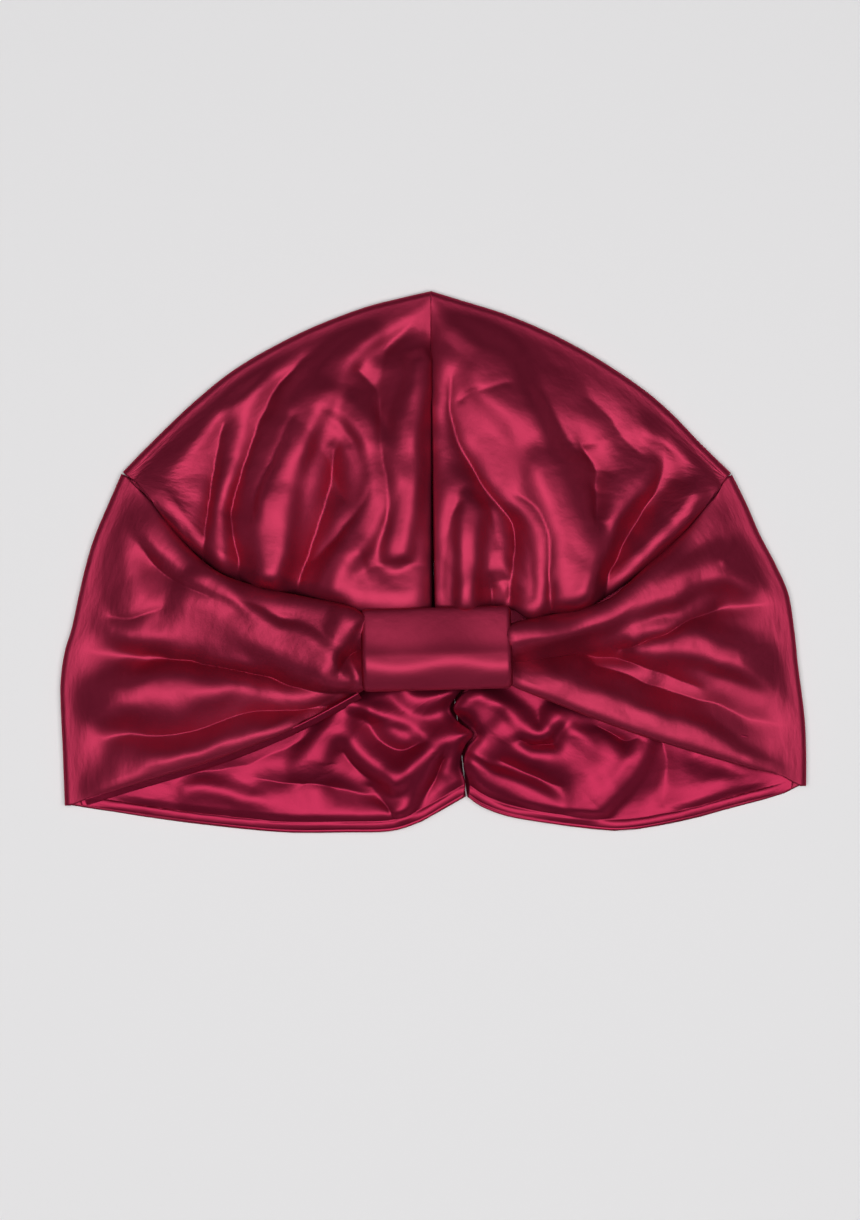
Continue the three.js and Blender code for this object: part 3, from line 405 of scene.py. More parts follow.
LINING_FOLDS = {
    LEFT: [
        Fold([(-0.081, -0.45), (-0.059, -0.487), (-0.022, -0.502), (0.043, -0.498)],
             (3.4, 4.1, 4.1), (2.9, 2.9), (4.3, 4.3)),
        Fold([(-0.228, -0.48), (-0.204, -0.528), (-0.167, -0.55), (-0.113, -0.557), (-0.059, -0.583),
              (-0.008, -0.638)],
             (3.4, 4.1, 4.1, 3.7, 2.4), (4.3, 5.8), (3.6, 4.3)),
        Fold([(-0.137, -0.583), (-0.116, -0.62), (-0.078, -0.642), (-0.043, -0.631)],
             (1, 2.2, 2.2, 1), (3.2, 4), (5, 5)),
        Fold([(0.097, -0.613), (0.056, -0.649), (0.016, -0.668), (-0.024, -0.716), (-0.07, -0.753),
              (-0.113, -0.786)],
             (4.4, 4.8, 4.8, 4.4, 4.1), (4.3, 5.1), (5.8, 5.8)),
        Fold([(-0.113, -0.786), (-0.145, -0.749), (-0.183, -0.705), (-0.226, -0.664)],
             (4.1, 3.7, 3.1), (4.3, 5.1), (5.1, 5.8)),
        Fold([(-0.024, -0.661), (-0.091, -0.683), (-0.145, -0.657), (-0.177, -0.59)],
             (-2, -3.5, -3.5, -2), (4, 5), (4, 5)),
        Fold([(-0.237, -0.72), (-0.199, -0.76), (-0.14, -0.812)], (-3, -3.5, -2), (3, 3), (4, 4)),
        Fold([(-0.237, -0.524), (-0.28, -0.638), (-0.323, -0.749), (-0.312, -0.812)],
             (4, 4.8, 4.4, 2.4), (7, 8), (6, 8), 2.8),
        Fold([(0, -0.716), (-0.022, -0.775), (-0.054, -0.841), (-0.086, -0.908)],
             (4.1, 4.1, 3.7, 2.7), (4.3, 5.8), (5.8, 7.2)),
        Fold([(0.027, -0.738), (0.011, -0.812), (-0.011, -0.878)], (-3, -3, -1.5), (2.5, 3), (2.5, 3)),
        Fold([(0.091, -0.672), (0.059, -0.731), (0.038, -0.79)],
             (4.1, 3.4, 2.4), (3.6, 3.6), (4.3, 4.3)),
        Fold([(0.097, -0.819), (0.059, -0.849), (0.027, -0.882)],
             (2.2, 2.2, 1.1), (5.8, 5.8), (5.8, 5.8), 2.8),
        Fold([(-0.172, -0.812), (-0.156, -0.863), (-0.129, -0.915), (-0.11, -0.974)],
             (-1.8, -2.2, -2, -1), (1.2, 1.6), (1.5, 1.5), 1.5),
        Fold([(-0.091, -0.952), (-0.28, -0.952), (-0.468, -0.923), (-0.683, -0.897), (-0.817, -0.871)],
             (1.9, 2.2, 1.6, 1.1), (5.8, 5.8), (7.2, 7.2), 2.8),
        Fold([(-0.167, -0.845), (-0.266, -0.841), (-0.36, -0.823), (-0.462, -0.786)],
             (-2.5, -3.5, -3, -1.5), (3.5, 4), (3.5, 4)),
        Fold([(-0.401, -0.841), (-0.535, -0.867), (-0.656, -0.867)], (1, 2, 1.5), (5, 5), (5, 5)),
        Fold([(-0.36, -0.664), (-0.454, -0.72), (-0.562, -0.775), (-0.683, -0.819)],
             (-1.5, -2.5, -2, -1), (6, 6), (8, 8)),
    ],
    RIGHT: [
        Fold([(0.062, -0.528), (0.094, -0.528), (0.124, -0.531)],
             (6.4, 6.8, 6.4), (5.5, 5.5), (5.5, 5.5), 2.8),
        Fold([(0.102, -0.483), (0.151, -0.502), (0.194, -0.531), (0.231, -0.583), (0.263, -0.624),
              (0.288, -0.635), (0.312, -0.609), (0.333, -0.565)],
             (5.4, 5.4, 5.1, 4.8, 4.8, 4.1), (4.3, 5.1), (4.3, 5.1)),
        Fold([(0.328, -0.554), (0.366, -0.568), (0.403, -0.605), (0.435, -0.664)],
             (3.3, 3.5, 3.3, 2.2), (5.8, 7.2), (5.8, 7.2), 2.8),
        Fold([(0.18, -0.524), (0.164, -0.568), (0.137, -0.605)],
             (3.4, 3.4, 2.4), (2.9, 2.9), (3.6, 3.6)),
        Fold([(0.142, -0.613), (0.118, -0.664), (0.097, -0.716), (0.097, -0.786), (0.124, -0.849)],
             (4.3, 4.1, 3.3, 2.7, 1.9), (8.8, 9.9), (5.8, 5.8), 2.8),
        Fold([(0.091, -0.76), (0.164, -0.804), (0.258, -0.86), (0.344, -0.908)],
             (4, 4, 3.6, 2.8), (5, 6), (6, 6), 2.8),
        Fold([(0.212, -0.635), (0.237, -0.694), (0.269, -0.727), (0.32, -0.753)],
             (3.4, 3.7, 2.7, 2), (4.3, 5.8), (5.1, 5.8)),
        Fold([(0.231, -0.649), (0.272, -0.683), (0.328, -0.694)], (-3, -3.5, -2.5), (3, 3), (3, 3)),
        Fold([(0.177, -0.716), (0.258, -0.786), (0.339, -0.823)], (-2, -3, -2.5), (5, 5), (5, 5)),
        Fold([(0.554, -0.649), (0.527, -0.723), (0.478, -0.804), (0.419, -0.882)],
             (4, 5, 4.5, 3), (7, 8), (7, 8), 2.8),
        Fold([(0.392, -0.675), (0.379, -0.786), (0.406, -0.878)], (2.4, 3.2, 2.4), (6, 7), (6, 7), 2.8),
        Fold([(0.446, -0.613), (0.495, -0.649), (0.538, -0.638)], (-3, -3.5, -2), (4, 4), (4, 4)),
        Fold([(0.618, -0.664), (0.64, -0.768), (0.629, -0.886)], (-4, -4.5, -3), (5, 5), (8, 8), 1.5),
        Fold([(0.702, -0.731), (0.809, -0.775), (0.917, -0.812)], (2.2, 2.2, 1), (5, 5), (5, 5)),
        Fold([(0.634, -0.9), (0.769, -0.852), (0.93, -0.83)], (1.4, 1.4, 0.7), (4.3, 3.6), (5.8, 4.3)),
    ],
}


def share(place):
    """A place of the tables in metres."""
    return np.array(place) * (HALF_WIDTH, HALF_LENGTH)


def lerp(low, high, a):
    return low + (high - low) * a


def smooth(start, end, x):
    """Rises from 0 at start to 1 at end, level at both."""
    a = np.clip((x - start) / (end - start), 0, 1)
    return a * a * (3 - 2 * a)


def samples(points, each=24):
    """A smooth curve through points, as closely spaced places."""
    points = np.asarray(points, dtype=float)
    padded = np.vstack([points[:1], points, points[-1:]])
    found = []
    t = np.linspace(0, 1, each, endpoint=False)[:, None]
    for a, b, c, d in zip(padded, padded[1:], padded[2:], padded[3:]):
        bend = (2 * a - 5 * b + 4 * c - d) * t**2 + (3 * b - a - 3 * c + d) * t**3
        found.append(0.5 * (2 * b + (c - a) * t + bend))
    return np.vstack([*found, points[-1:]])


def curve(points):
    """A smooth curve through points: the result gives the places at shares of its length."""
    line = samples(points)
    length = np.concatenate([[0], np.cumsum(np.linalg.norm(np.diff(line, axis=0), axis=1))])
    length /= length[-1]

    def at(a):
        a = np.clip(a, 0, 1)
        return np.stack([np.interp(a, length, line[:, k]) for k in (0, 1)], axis=-1)

    return at


def line_of(points):
    """A smooth curve through places of the tables."""
    return curve([share(p) for p in points])


def beside(route, distance):
    """The same curve moved sideways: a positive distance is to the left of its direction."""
    step = 0.006  # share of the curve over which its direction is taken

    def at(a):
        a = np.asarray(a, dtype=float)
        along = route(np.minimum(1, a + step)) - route(np.maximum(0, a - step))
        along /= np.linalg.norm(along, axis=-1, keepdims=True)
        return route(a) + distance * np.stack([-along[..., 1], along[..., 0]], axis=-1)

    return at


def straight(start, end):
    """A straight line as a curve."""
    return lambda a: start + (end - start) * np.asarray(a, dtype=float)[..., None]


def spread(route, steps):
    """A curve as evenly spaced places."""
    return route(np.linspace(0, 1, steps))


def patch(outer, inner, first, last, u, v):
    """Places between four curves: outer and inner run with u, first and last with v."""
    u, v = u[:, None, None], v[None, :, None]
    ruled = outer(u[..., 0]) * (1 - v) + inner(u[..., 0]) * v
    crossed = first(v[..., 0]) * (1 - u) + last(v[..., 0]) * u
    near_corners = outer(0.0) * (1 - u) + outer(1.0) * u
    far_corners = inner(0.0) * (1 - u) + inner(1.0) * u
    return ruled + crossed - near_corners * (1 - v) - far_corners * v


def nearest(places, line):
    """For each place, the closest point of a line: its distance, the way to it, where it is along
    the line, and how far the place lies to the left, from 0 on its right to 1 on its left."""
    tiny = 1e-12
    flat = places.reshape(-1, 2)
    starts, along = line[:-1], np.diff(line, axis=0)
    best = np.full(len(flat), np.inf)
    way = np.zeros_like(flat)
    at = np.zeros(len(flat))
    lean = np.zeros(len(flat))
    for i, (start, step) in enumerate(zip(starts, along)):
        off = flat - start
        a = np.clip(off @ step / (step @ step), 0, 1)
        rest = off - a[:, None] * step
        distance = np.linalg.norm(rest, axis=1)
        closer = distance < best
        side = (step[0] * off[:, 1] - step[1] * off[:, 0]) / (np.linalg.norm(step) * distance + tiny)
        best = np.where(closer, distance, best)
        way[closer] = -rest[closer]
        at = np.where(closer, (i + a) / len(along), at)
        lean = np.where(closer, 0.5 + side / 2, lean)
    shape = places.shape[:-1]
    way /= np.linalg.norm(way, axis=1, keepdims=True) + tiny
    lean = np.clip(lean, 0, 1)
    return best.reshape(shape), way.reshape(places.shape), at.reshape(shape), lean.reshape(shape)


def distance_to(places, line):
    return nearest(places, line)[0]


def waves(places, length, seed):
    """An even, irregular unevenness of height about 1, made of waves that run in all directions."""
    dice = np.random.default_rng(seed)
    total = np.zeros(places.shape[:-1])
    for _ in range(WAVE_COUNT):
        turn, phase = dice.uniform(0, 2 * np.pi, 2)
        pitch = length * dice.uniform(0.7, 1.5)
        way = places[..., 0] * np.cos(turn) + places[..., 1] * np.sin(turn)
        total += np.sin(way * 2 * np.pi / pitch + phase)
    return total * np.sqrt(2 / WAVE_COUNT)


def strayed(places):
    """Places shifted a little, so that the folds wander as those of real cloth do."""
    long, short = 38 * MM, 14 * MM
    wide = np.stack([waves(places, long, 1), waves(places, long, 2)], axis=-1)
    close = np.stack([waves(places, short, 3), waves(places, short, 4)], axis=-1)
    return places + 1.1 * MM * wide + 0.2 * MM * close


def fold_lift(folds, places):
    """How far the folds raise each place."""
    lift = np.zeros(places.shape[:-1])
    places = strayed(places)
    for fold in folds:
        line = samples([share(p) for p in fold.run], each=8)
        distance, _, at, lean = nearest(places, line)
        along = lambda values: np.interp(at, np.linspace(0, 1, len(values)), values) * MM
        width = lerp(along(fold.right), along(fold.left), lean)
        crest = VALLEY_CREST if max(fold.rise) <= 0 else fold.crest
        lift += along(fold.rise) * np.exp(-((distance / width) ** crest))
    return lift * (1 + FOLD_VARIETY * waves(places, 30 * MM, 5))


def eased(lift, most):
    """Crossing folds add up, and their sum eases off towards the most that the cloth allows."""
    return np.where(lift > 0, most * np.tanh(lift / most), lift)


def settled(heights, floor):
    """Heights that come to rest softly on a floor."""
    return floor + SETTLE * np.logaddexp(0, (heights - floor) / SETTLE)


def crumple(places, height):
    """The soft unevenness of thin cloth: rounded swellings between slack creases."""
    places = strayed(places)
    broad = np.sqrt(waves(places, 60 * MM, 6) ** 2 + 0.12)
    small = np.sqrt(waves(places, 26 * MM, 7) ** 2 + 0.2)
    fine = waves(places, 9 * MM, 8)
    return height * (1.6 * broad + 0.45 * small + 0.05 * fine)


def rolled(places, heights, edge, width, overhang, depth, weight=1.0):
    """Rounds a sheet over towards an edge and down by depth, bulging past the edge by overhang."""
    distance, way, _, _ = nearest(places, edge)
    inside = distance < width
    t = np.clip(distance / width, 0, 1)
    reach = width + overhang
    last = np.pi - np.arcsin(np.clip(width / reach, 0, 1))
    angle = (1 - t) * last
    shift = (reach * np.sin(angle) - (1 - t) * width) * weight
    drop = depth * (1 - np.cos(angle)) / (1 - np.cos(last)) * weight
    places = places + np.where(inside, shift, 0)[..., None] * way
    return places, heights - np.where(inside, drop, 0)


def by_wrap(x, y):
    """A place by the wrap, from its middle: along it and across it."""
    c, s = np.cos(WRAP_TURN), np.sin(WRAP_TURN)
    return share(WRAP_PLACE) + np.array([x * c - y * s, x * s + y * c])


def swell(distance, loft, run):
    """The height of the full front: round at the folded outline, and nearly flat further in."""
    return FRONT_EDGE + (loft - FRONT_EDGE) * (1 - np.exp(-distance / run))


def laid_down(heights, from_outline):
    """The front's heights, settled on the back and brought down to the folded outline."""
    return lerp(FRONT_EDGE, settled(heights, FRONT_EDGE), 1 - np.exp(-from_outline / RIM_RUN))


def hem_height(a):
    """The height of the band's lower hem, from its corner to the wrap."""
    return lerp(FRONT_EDGE, HEM_LIFT, np.clip(a, 0, 1) ** HEM_CURVE)


def half_curves(side):
    """The lines that the panels of one half share."""
    end = side * (WRAP_LENGTH / 2 - MOUTH_INSET)
    top, bottom = MOUTH_ENDS[side]
    lines = {
        "crown": line_of(CROWN_OUTLINE[side]),
        "band": line_of(BAND_OUTLINE[side]),
        "seam": curve([share(p) for p in SEAM[side]] + [by_wrap(end, top * MOUTH_ROOM)]),
        "hem": curve([share(p) for p in HEM[side]] + [by_wrap(end, bottom * MOUTH_ROOM)]),
        "nape": line_of(NAPE_HEM[side]),
        "middle": beside(line_of(BACK_SEAM), -side * SEAM_GAP / 2),
    }
    corner = beside(lines["band"], -side * FOLD_INSET)(0.0)
    middle = lines["middle"](BAND_RISE)
    lines["back_seam"] = curve([corner, (corner + middle) / 2 - (0, BACK_BOW), middle])
    return lines


def folded_sheet(name, front_places, front_heights, outline, back_places, side, grid):
    """A sheet from the front's inner edge, round the folded outline and over the back."""
    u = np.linspace(0, 1, grid[0] + 1)
    front = np.concatenate([front_places, front_heights[..., None]], axis=-1)[:, ::-1]
    centre = beside(outline, -side * FOLD_INSET)(u)
    outward = outline(u) - centre
    outward /= np.linalg.norm(outward, axis=-1, keepdims=True)
    turns = np.linspace(np.pi / 2, -np.pi / 2, grid[2] + 2)[1:-1]
    fold = centre[:, None] + FOLD_RADIUS * np.cos(turns)[None, :, None] * outward[:, None]
    level = (FRONT_EDGE + BACK_Z) / 2 + FOLD_RADIUS * np.sin(turns)
    fold = np.concatenate([fold, np.broadcast_to(level[None, :, None], fold.shape[:2] + (1,))], axis=-1)
    back = np.concatenate([back_places, np.full(back_places.shape[:2] + (1,), BACK_Z)], axis=-1)
    return sheet_mesh(name, np.concatenate([front, fold, back], axis=1), flip=side == LEFT)


def sheet_mesh(name, rows, flip, closed=False):
    """A cloth wall on a grid of places, with a UV map in metres along the cloth."""
    n, m = rows.shape[:2]
    index = np.arange(n * m).reshape(n, m)
    if closed:
        index = np.vstack([index, index[:1]])
    a, b, c, d = index[:-1, :-1], index[1:, :-1], index[1:, 1:], index[:-1, 1:]
    quads = np.stack([a, d, c, b] if flip else [a, b, c, d], axis=-1).reshape(-1, 4)
    mesh = bpy.data.meshes.new(name)
    mesh.from_pydata(rows.reshape(-1, 3).tolist(), [], quads.tolist())
    across = np.linalg.norm(np.diff(rows, axis=0), axis=-1).mean() * np.arange(n + 1)
    along = np.linalg.norm(np.diff(rows, axis=1), axis=-1).mean() * np.arange(m)
    uv = mesh.uv_layers.new(name="cloth")
    corner = np.empty(len(mesh.loops), dtype=int)
    mesh.loops.foreach_get("vertex_index", corner)
    uv.data.foreach_set("uv", np.stack([across[corner // m], along[corner % m]], axis=-1).ravel())
    piece = bpy.data.objects.new(name, mesh)
    bpy.context.collection.objects.link(piece)
    finish_with(
        piece, "SOLIDIFY", thickness=CLOTH, offset=0, use_even_offset=False, use_quality_normals=True)
    mesh.polygons.foreach_set("use_smooth", [True] * len(mesh.polygons))
    return piece


def finish_with(piece, kind, **settings):
    """Adds a modifier and applies it."""
    modifier = piece.modifiers.new(kind.title(), kind)
    for key, value in settings.items():
        setattr(modifier, key, value)
    bpy.context.view_layer.objects.active = piece
    with bpy.context.temp_override(object=piece, active_object=piece, selected_objects=[piece]):
        bpy.ops.object.modifier_apply(modifier=modifier.name)


def seam_relief(places, from_outline, centre, side):
    """The crown's centre seam: small puckers, the cloth rounding down to it, and its groove."""
    from_seam = np.abs(places[..., 0] - centre)
    y = places[..., 1]
    pucker = PUCKER * np.sin(y / PUCKER_PITCH + 2 * np.sin(y / PUCKER_DRIFT + side))
    pucker *= np.exp(-from_seam / SEAM_ROUND_WIDTH) * smooth(0, PUCKER_START, from_outline)
    rounding = 1 - np.sqrt(1 - (1 - np.clip(from_seam / SEAM_ROUND_WIDTH, 0, 1)) ** 2)
    rounding *= SEAM_ROUND_DEPTH * smooth(0, SEAM_ROUND_START, from_outline)
    groove = GROOVE_DEPTH * np.exp(-((from_seam / GROOVE_WIDTH) ** 2))
    groove *= smooth(0, GROOVE_START, from_outline)
    return pucker - rounding - groove


def crown(side):
    """One half of the crown, from beside the wrap and the band to the back's bowed seam."""
    lines = half_curves(side)
    n_u, n_v, _, n_back = CROWN_GRID
    u, v = np.linspace(0, 1, n_u + 1), np.linspace(0, 1, n_v + 1)
    centre = share(CROWN_OUTLINE[side][0])[0] + side * SEAM_GAP / 2

    def from_centre(place):
        place = np.array(place, dtype=float)
        place[..., 0] = side * np.maximum(side * place[..., 0], side * centre)
        return place

    outline = lambda a: from_centre(lines["crown"](a))
    outer = lambda a: from_centre(beside(lines["crown"], -side * FOLD_INSET)(a))
    over = WRAP_WIDTH / 2 - CROWN_WRAP_LAP
    past = side * (WRAP_LENGTH / 2 + CROWN_WRAP_END)
    beside_seam = beside(lines["seam"], -side * CROWN_SEAM_INSET)
    above_wrap = [from_centre(by_wrap(0, over)), by_wrap(past * 0.5, over), by_wrap(past * 0.93, over)]
    inner = curve(above_wrap + [beside_seam(a) for a in CROWN_SEAM_STOPS])
    places = patch(outer, inner, straight(outer(0.0), inner(0.0)), straight(outer(1.0), inner(1.0)), u, v)
    from_outline = distance_to(places, spread(outer, OUTLINE_STEPS))
    lift = eased(fold_lift(CROWN_FOLDS[side], places) + crumple(places, CROWN_CRUMPLE), FOLD_MOST)
    heights = swell(from_outline, CROWN_LOFT, CROWN_LOFT_RUN)
    heights += lift * smooth(0, CROWN_FOLD_START, from_outline)
    heights += seam_relief(places, from_outline, centre, side)
    width = np.minimum(CROWN_EDGE_WIDTH, 0.5 * np.linalg.norm(inner(u) - outer(u), axis=-1))
    depth = lerp(CROWN_LIP_DROP, CROWN_SEAM_DROP, smooth(0.1, 0.5, u)) * (1 - smooth(0.75, 1, u))
    bulge = CROWN_LIP_BULGE * (1 - smooth(0.12, 0.3, u))
    edge = spread(inner, EDGE_STEPS)
    places, heights = rolled(places, heights, edge, width[:, None], bulge[:, None], depth[:, None])
    places = from_centre(places)
    heights = laid_down(heights, from_outline)
    back_inner = lambda a: beside(lines["back_seam"], -side * SEAM_GAP)(1 - 0.94 * np.asarray(a))
    middle = np.array([centre, back_inner(0.0)[1]])
    inner_back = lambda a: np.where(np.asarray(a)[..., None] == 0, middle, back_inner(a))
    w = np.linspace(0, 1, n_back + 1)
    first, last = straight(outer(0.0), middle), straight(outer(1.0), back_inner(1.0))
    back = patch(outer, inner_back, first, last, u, w)
    name = "crown_cloth_left" if side == LEFT else "crown_cloth_right"
    return folded_sheet(name, places, heights, outline, back, side, CROWN_GRID)


def band(side):
    """One half of the band, from inside the wrap to the back's centre seam."""
    lines = half_curves(side)
    n_u, n_v, _, n_back = BAND_GRID
    u, v = np.linspace(0, 1, n_u + 1), np.linspace(0, 1, n_v + 1)
    outer = beside(lines["band"], -side * FOLD_INSET)
    inside = side * (WRAP_LENGTH / 2 - BUNDLE_INSET)
    end_top, end_bottom = by_wrap(inside, BUNDLE_ROOM), by_wrap(inside, -BUNDLE_ROOM)

    def into_wrap(route, start, end):
        def at(a):
            a = np.asarray(a, dtype=float)[..., None]
            outside = route(np.minimum(1, a[..., 0] / MOUTH))
            outside = outside + (start - route(0.0)) * (1 - smooth(0, 0.1, a))
            return np.where(a >= MOUTH, lerp(route(1.0), end, (a - MOUTH) / (1 - MOUTH)), outside)
        return at

    top = into_wrap(lines["seam"], outer(0.0), end_top)
    bottom = into_wrap(lines["hem"], outer(1.0), end_bottom)
    places = patch(outer, straight(end_top, end_bottom), top, bottom, u, v)
    from_outline = distance_to(places, spread(outer, OUTLINE_STEPS))
    lift = eased(fold_lift(BAND_FOLDS[side], places) + crumple(places, BAND_CRUMPLE), FOLD_MOST)
    lift = lift * (1 - smooth(MOUTH - 0.02, MOUTH + 0.04, v))
    gathered = smooth(MOUTH - GATHER_RUN, MOUTH, v)[None, :]
    bundle = WRAP_CENTRE + BUNDLE_HEIGHT * (1 - np.abs(2 * u - 1) ** BUNDLE_SQUARENESS)[:, None] ** 0.5
    full = lerp(swell(from_outline, BAND_LOFT, BAND_LOFT_RUN), bundle, gathered)
    heights = full + lift * smooth(0, BAND_FOLD_START, from_outline)

    outside_wrap = 1 - smooth(MOUTH - 0.04, MOUTH + 0.04, v)
    edge_weight = (outside_wrap * smooth(0, 0.15, v))[None, :]
    seam_line, hem_line = spread(top, EDGE_STEPS), spread(bottom, EDGE_STEPS)
    depth = (BAND_SEAM_DROP * smooth(0, 0.35, v) * outside_wrap)[None, :]
    places, heights = rolled(
        places, heights, seam_line, BAND_SEAM_WIDTH, BAND_SEAM_BULGE, depth, edge_weight)
    over_hem = np.maximum(0, full - hem_height(v / MOUTH)[None, :])
    near_hem = 1 - smooth(0, HEM_REACH, distance_to(places, hem_line))
    heights = heights - over_hem * near_hem * HEM_SHARE * outside_wrap
    depth = HEM_DROP * smooth(0, 0.3, v)[None, :]
    places, heights = rolled(places, heights, hem_line, HEM_WIDTH, HEM_BULGE, depth, edge_weight)
    heights = laid_down(heights, from_outline)

    nape, start = lines["nape"], outer(1.0)
    edge = lambda a: nape(a) + (start - nape(0.0)) * (1 - smooth(0, 0.08, np.asarray(a)[..., None]))
    back_inner = lambda a: lines["middle"](BAND_RISE * (1 - np.asarray(a)))
    back = patch(outer, back_inner, lines["back_seam"], edge, u, np.linspace(0, 1, n_back + 1))
    name = "band_cloth_left" if side == LEFT else "band_cloth_right"
    return folded_sheet(name, places, heights, lines["band"], back, side, BAND_GRID)


def lining(side):
    """One half of the lining inside the nape, gathered towards the middle."""
    lines = half_curves(side)
    n_u, n_v = LINING_GRID
    u, v = np.linspace(0, 1, n_u + 1), np.linspace(0, 1, n_v + 1)
    hem = beside(lines["nape"], -side * NAPE_INSET)
    seam = beside(line_of(LINING_SEAM), -side * LINING_SEAM_INSET)
    side_edge = beside(lines["band"], -side * (FOLD_INSET + CLOTH))
    on_hem, on_side = LINING_CORNER
    low, high = hem(on_hem), side_edge(on_side)
    bottom = lambda a: hem(on_hem + (1 - on_hem) * np.asarray(a))
    places = patch(bottom, straight(high, seam(1.0)), straight(low, high), seam, u, v)
    from_hem = distance_to(places, spread(bottom, LINING_STEPS))
    from_seam = distance_to(places, spread(seam, LINING_STEPS))
    lift = eased(fold_lift(LINING_FOLDS[side], places) + crumple(places, LINING_CRUMPLE), LINING_MOST)
    inside = smooth(0, 0.2, u)[:, None] * (1 - smooth(0.85, 1, v))[None, :]
    belly = LINING_RISE * smooth(0, LINING_RISE_RUN, from_hem)
    heights = LINING_FLOOR + (lift + belly) * smooth(0, LINING_FOLD_START, from_hem) * inside
    half_edge = NAPE_EDGE_WIDTH / 2
    sewn = np.sqrt(np.clip(1 - ((from_hem - half_edge) / half_edge) ** 2, 0, 1))
    heights += NAPE_EDGE_HEIGHT * sewn * smooth(0, 0.1, u)[:, None]
    groove = LINING_SEAM_DEPTH * np.exp(-((from_seam / LINING_SEAM_WIDTH) ** 2))
    groove *= smooth(0, LINING_SEAM_START, from_hem)
    heights -= groove * (1 - smooth(0.75, 0.9, v))[None, :]
    heights = settled(heights, LINING_FLOOR)
    rows = np.concatenate([places, heights[..., None]], axis=-1)
    name = "nape_lining_left" if side == LEFT else "nape_lining_right"
    return sheet_mesh(name, rows, flip=side == RIGHT)


def facing():
    """The edge of the lining that shows as a narrow strip below the left hem."""
    hem = half_curves(LEFT)["hem"]
    a = np.linspace(*FACING_RUN, FACING_GRID[0])
    b = np.linspace(0, 1, FACING_GRID[1])
    rows = np.stack([beside(hem, -d)(a) for d in lerp(*FACING_WIDTH, b)], axis=1)
    wave = FACING_WAVE * np.sin(a * 40)[:, None] * b[None, :]
    heights = hem_height(a)[:, None] - lerp(*FACING_DROP, b)[None, :] + wave
    heights = np.maximum(heights, FACING_LOWEST)
    return sheet_mesh("lining_edge", np.concatenate([rows, heights[..., None]], axis=-1), flip=True)


def wrap():
    """The loop round the gathered band, with its ends turned in."""
    n, m = WRAP_GRID
    turn = np.linspace(0, 2 * np.pi, n, endpoint=False)
    along = np.linspace(-1, 1, m + 1)
    squared = lambda value: np.sign(value) * np.abs(value) ** (2 / WRAP_SQUARENESS)
    inset = WRAP_END_TURN * (1 - np.sqrt(1 - np.abs(along) ** WRAP_END_SHARPNESS))
    y = squared(np.cos(turn))[:, None] * (WRAP_WIDTH / 2 - CLOTH / 2 - inset)[None, :]
    z = squared(np.sin(turn))[:, None] * (WRAP_HEIGHT / 2 - CLOTH / 2 - inset)[None, :]
    x = np.broadcast_to((along * WRAP_LENGTH / 2)[None, :], y.shape)
    top = np.clip(np.sin(turn), 0, 1)[:, None]
    ripple = np.sin(x / (7 * MM) + 1.3) * np.cos(y / (6 * MM)) + 0.6 * np.sin(x / (4.1 * MM))
    ridge_line = WRAP_RIDGE_PLACE + WRAP_RIDGE_SWAY * np.sin(x / (6.5 * MM) + 0.5)
    ridge = WRAP_RIDGE * np.exp(-(((y - ridge_line) / WRAP_RIDGE_WIDTH) ** 2))
    slope = WRAP_SLOPE * np.maximum(y - WRAP_SLOPE_START, 0)
    z = z + top * (WRAP_RIPPLE * ripple + ridge - slope - WRAP_SINK)
    c, s = np.cos(WRAP_TURN), np.sin(WRAP_TURN)
    place = share(WRAP_PLACE)
    rows = np.stack([place[0] + x * c - y * s, place[1] + x * s + y * c, WRAP_CENTRE + z], axis=-1)
    return sheet_mesh("wrap_cloth", rows, flip=False, closed=True)


def colour(code):
    """An sRGB hex colour as linear values."""
    parts = [int(code[i:i + 2], 16) / 255 for i in (1, 3, 5)]
    return [c / 12.92 if c <= 0.04045 else ((c + 0.055) / 1.055) ** 2.4 for c in parts] + [1.0]


def add(tree, kind, inputs=None, **settings):
    """Adds a node with its settings, and its inputs set or linked."""
    node = tree.nodes.new(kind)
    for key, value in settings.items():
        setattr(node, key, value)
    for key, value in (inputs or {}).items():
        if isinstance(value, bpy.types.NodeSocket):
            tree.links.new(value, node.inputs[key])
        else:
            node.inputs[key].default_value = value
    return node


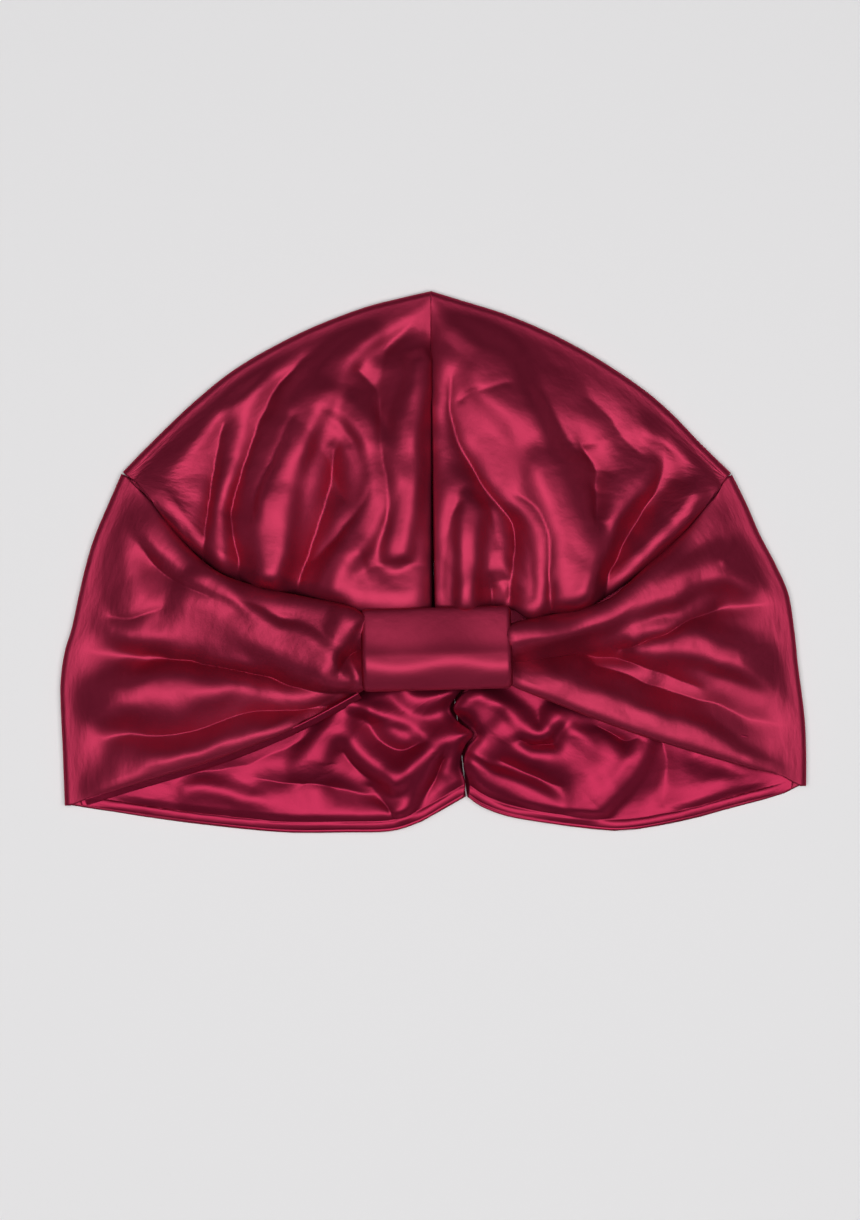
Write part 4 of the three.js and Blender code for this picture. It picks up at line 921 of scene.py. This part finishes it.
def satin(name, shade, deep):
    """Woven polyester satin: long smooth floats of thread give a soft, coloured sheen."""
    material = bpy.data.materials.new(name)
    material.use_nodes = True
    tree = material.node_tree
    tree.nodes.clear()
    cloth = add(tree, "ShaderNodeUVMap", uv_map="cloth").outputs["UV"]
    # The dye takes a little unevenly. A colour mix has its factor, first and second colour at 0, 6 and 7.
    dye = add(tree, "ShaderNodeTexNoise", {"Vector": cloth, "Scale": 1 / TONE_LENGTH, "Detail": 2})
    tone = add(tree, "ShaderNodeMix", {0: dye.outputs["Fac"], 6: colour(shade), 7: colour(deep)},
               data_type="RGBA")
    # Fine slack creases, and the floats of the weave, which are long one way.
    creases = add(tree, "ShaderNodeTexNoise", {"Vector": cloth, "Scale": 1 / CREASE_LENGTH, "Detail": 3})
    creased = add(tree, "ShaderNodeBump", {
        "Height": creases.outputs["Fac"], "Strength": 0.3, "Distance": CREASE_HEIGHT})
    weave = add(tree, "ShaderNodeMapping", {
        "Vector": cloth, "Scale": (1 / THREAD_WIDTH, 1 / THREAD_FLOAT, 1)})
    threads = add(tree, "ShaderNodeTexNoise", {"Vector": weave.outputs["Vector"], "Scale": 1, "Detail": 2})
    woven = add(tree, "ShaderNodeBump", {
        "Height": threads.outputs["Fac"], "Strength": 0.12, "Distance": THREAD_HEIGHT,
        "Normal": creased.outputs["Normal"]})
    tangent = add(tree, "ShaderNodeTangent", direction_type="UV_MAP", uv_map="cloth")
    # The sheen takes the colour of the thread, as a metal's does, so the cloth is nearly metallic.
    shader = add(tree, "ShaderNodeBsdfPrincipled", {
        "Base Color": tone.outputs[2], "Metallic": 0.84, "Roughness": 0.5, "Anisotropic": 0.3,
        "Specular IOR Level": 0.5, "Specular Tint": colour("#D88C9C"), "Normal": woven.outputs["Normal"],
        "Tangent": tangent.outputs["Tangent"],
    })
    add(tree, "ShaderNodeOutputMaterial", {"Surface": shader.outputs["BSDF"]})
    return material


def matt_paper(name, code):
    """Plain studio paper, with next to no shine."""
    material = bpy.data.materials.new(name)
    material.use_nodes = True
    shader = material.node_tree.nodes["Principled BSDF"]
    shader.inputs["Base Color"].default_value = colour(code)
    shader.inputs["Roughness"].default_value = 0.9
    shader.inputs["Specular IOR Level"].default_value = 0.1
    return material


def dress(piece, material, node):
    """Gives a sheet its satin, hangs it on the root body and hides the solid that it stands for."""
    piece.data.materials.clear()
    piece.data.materials.append(material)
    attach(piece, "root")
    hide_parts(node)


def hang(box):
    """A softbox that faces the bonnet."""
    light = bpy.data.lights.new(box.name, "AREA")
    light.shape = "RECTANGLE"
    light.size, light.size_y = box.size
    light.energy = box.power
    lamp = bpy.data.objects.new(box.name, light)
    lamp.location = box.place
    lamp.rotation_euler = Vector(box.place).to_track_quat("Z", "Y").to_euler()
    bpy.context.collection.objects.link(lamp)


def studio():
    """Pale paper under a wide softbox overhead, with a faint one on each side."""
    world = bpy.data.worlds.new("studio")
    bpy.context.scene.world = world
    world.use_nodes = True
    background = world.node_tree.nodes["Background"]
    background.inputs["Color"].default_value = (1, 1, 1, 1)
    background.inputs["Strength"].default_value = 0.02
    for box in SOFTBOXES:
        hang(box)
    bpy.ops.mesh.primitive_plane_add(size=12, location=(0, 0, 0))
    floor = bpy.context.active_object
    floor.name = "floor"
    floor.data.materials.append(matt_paper("matt_paper", "#EAE9EA"))
    bpy.context.scene.view_settings.view_transform = "Standard"


def camera():
    """Straight above the bonnet, with the photograph's frame round it."""
    lens = bpy.data.cameras.new("camera")
    lens.sensor_width = SENSOR
    lens.lens = SENSOR * CAMERA_DISTANCE / (PHOTO_HEIGHT * PIXEL)
    eye = bpy.data.objects.new("camera", lens)
    eye.location = (*CAMERA_PLACE, CAMERA_DISTANCE + EDGE_THICKNESS / 2)
    bpy.context.collection.objects.link(eye)
    bpy.context.scene.camera = eye


bpy.ops.object.select_all(action="DESELECT")
camera()
studio()
outer_satin = satin("woven_satin", "#A12D49", "#932540")
# Painted shade: the lining and its edge are the same satin as the outside, given darker colours because
# they lie in shade under the band.
lining_satin_painted_shade = satin("woven_satin_inside_painted_shade", "#9C2545", "#8C1E3A")
for side, word in ((LEFT, "left"), (RIGHT, "right")):
    dress(crown(side), outer_satin, f"crown_{word}")
    dress(band(side), outer_satin, f"band_{word}")
    dress(lining(side), lining_satin_painted_shade, f"lining_{word}")
dress(facing(), lining_satin_painted_shade, "lining_facing")
dress(wrap(), outer_satin, "wrap")
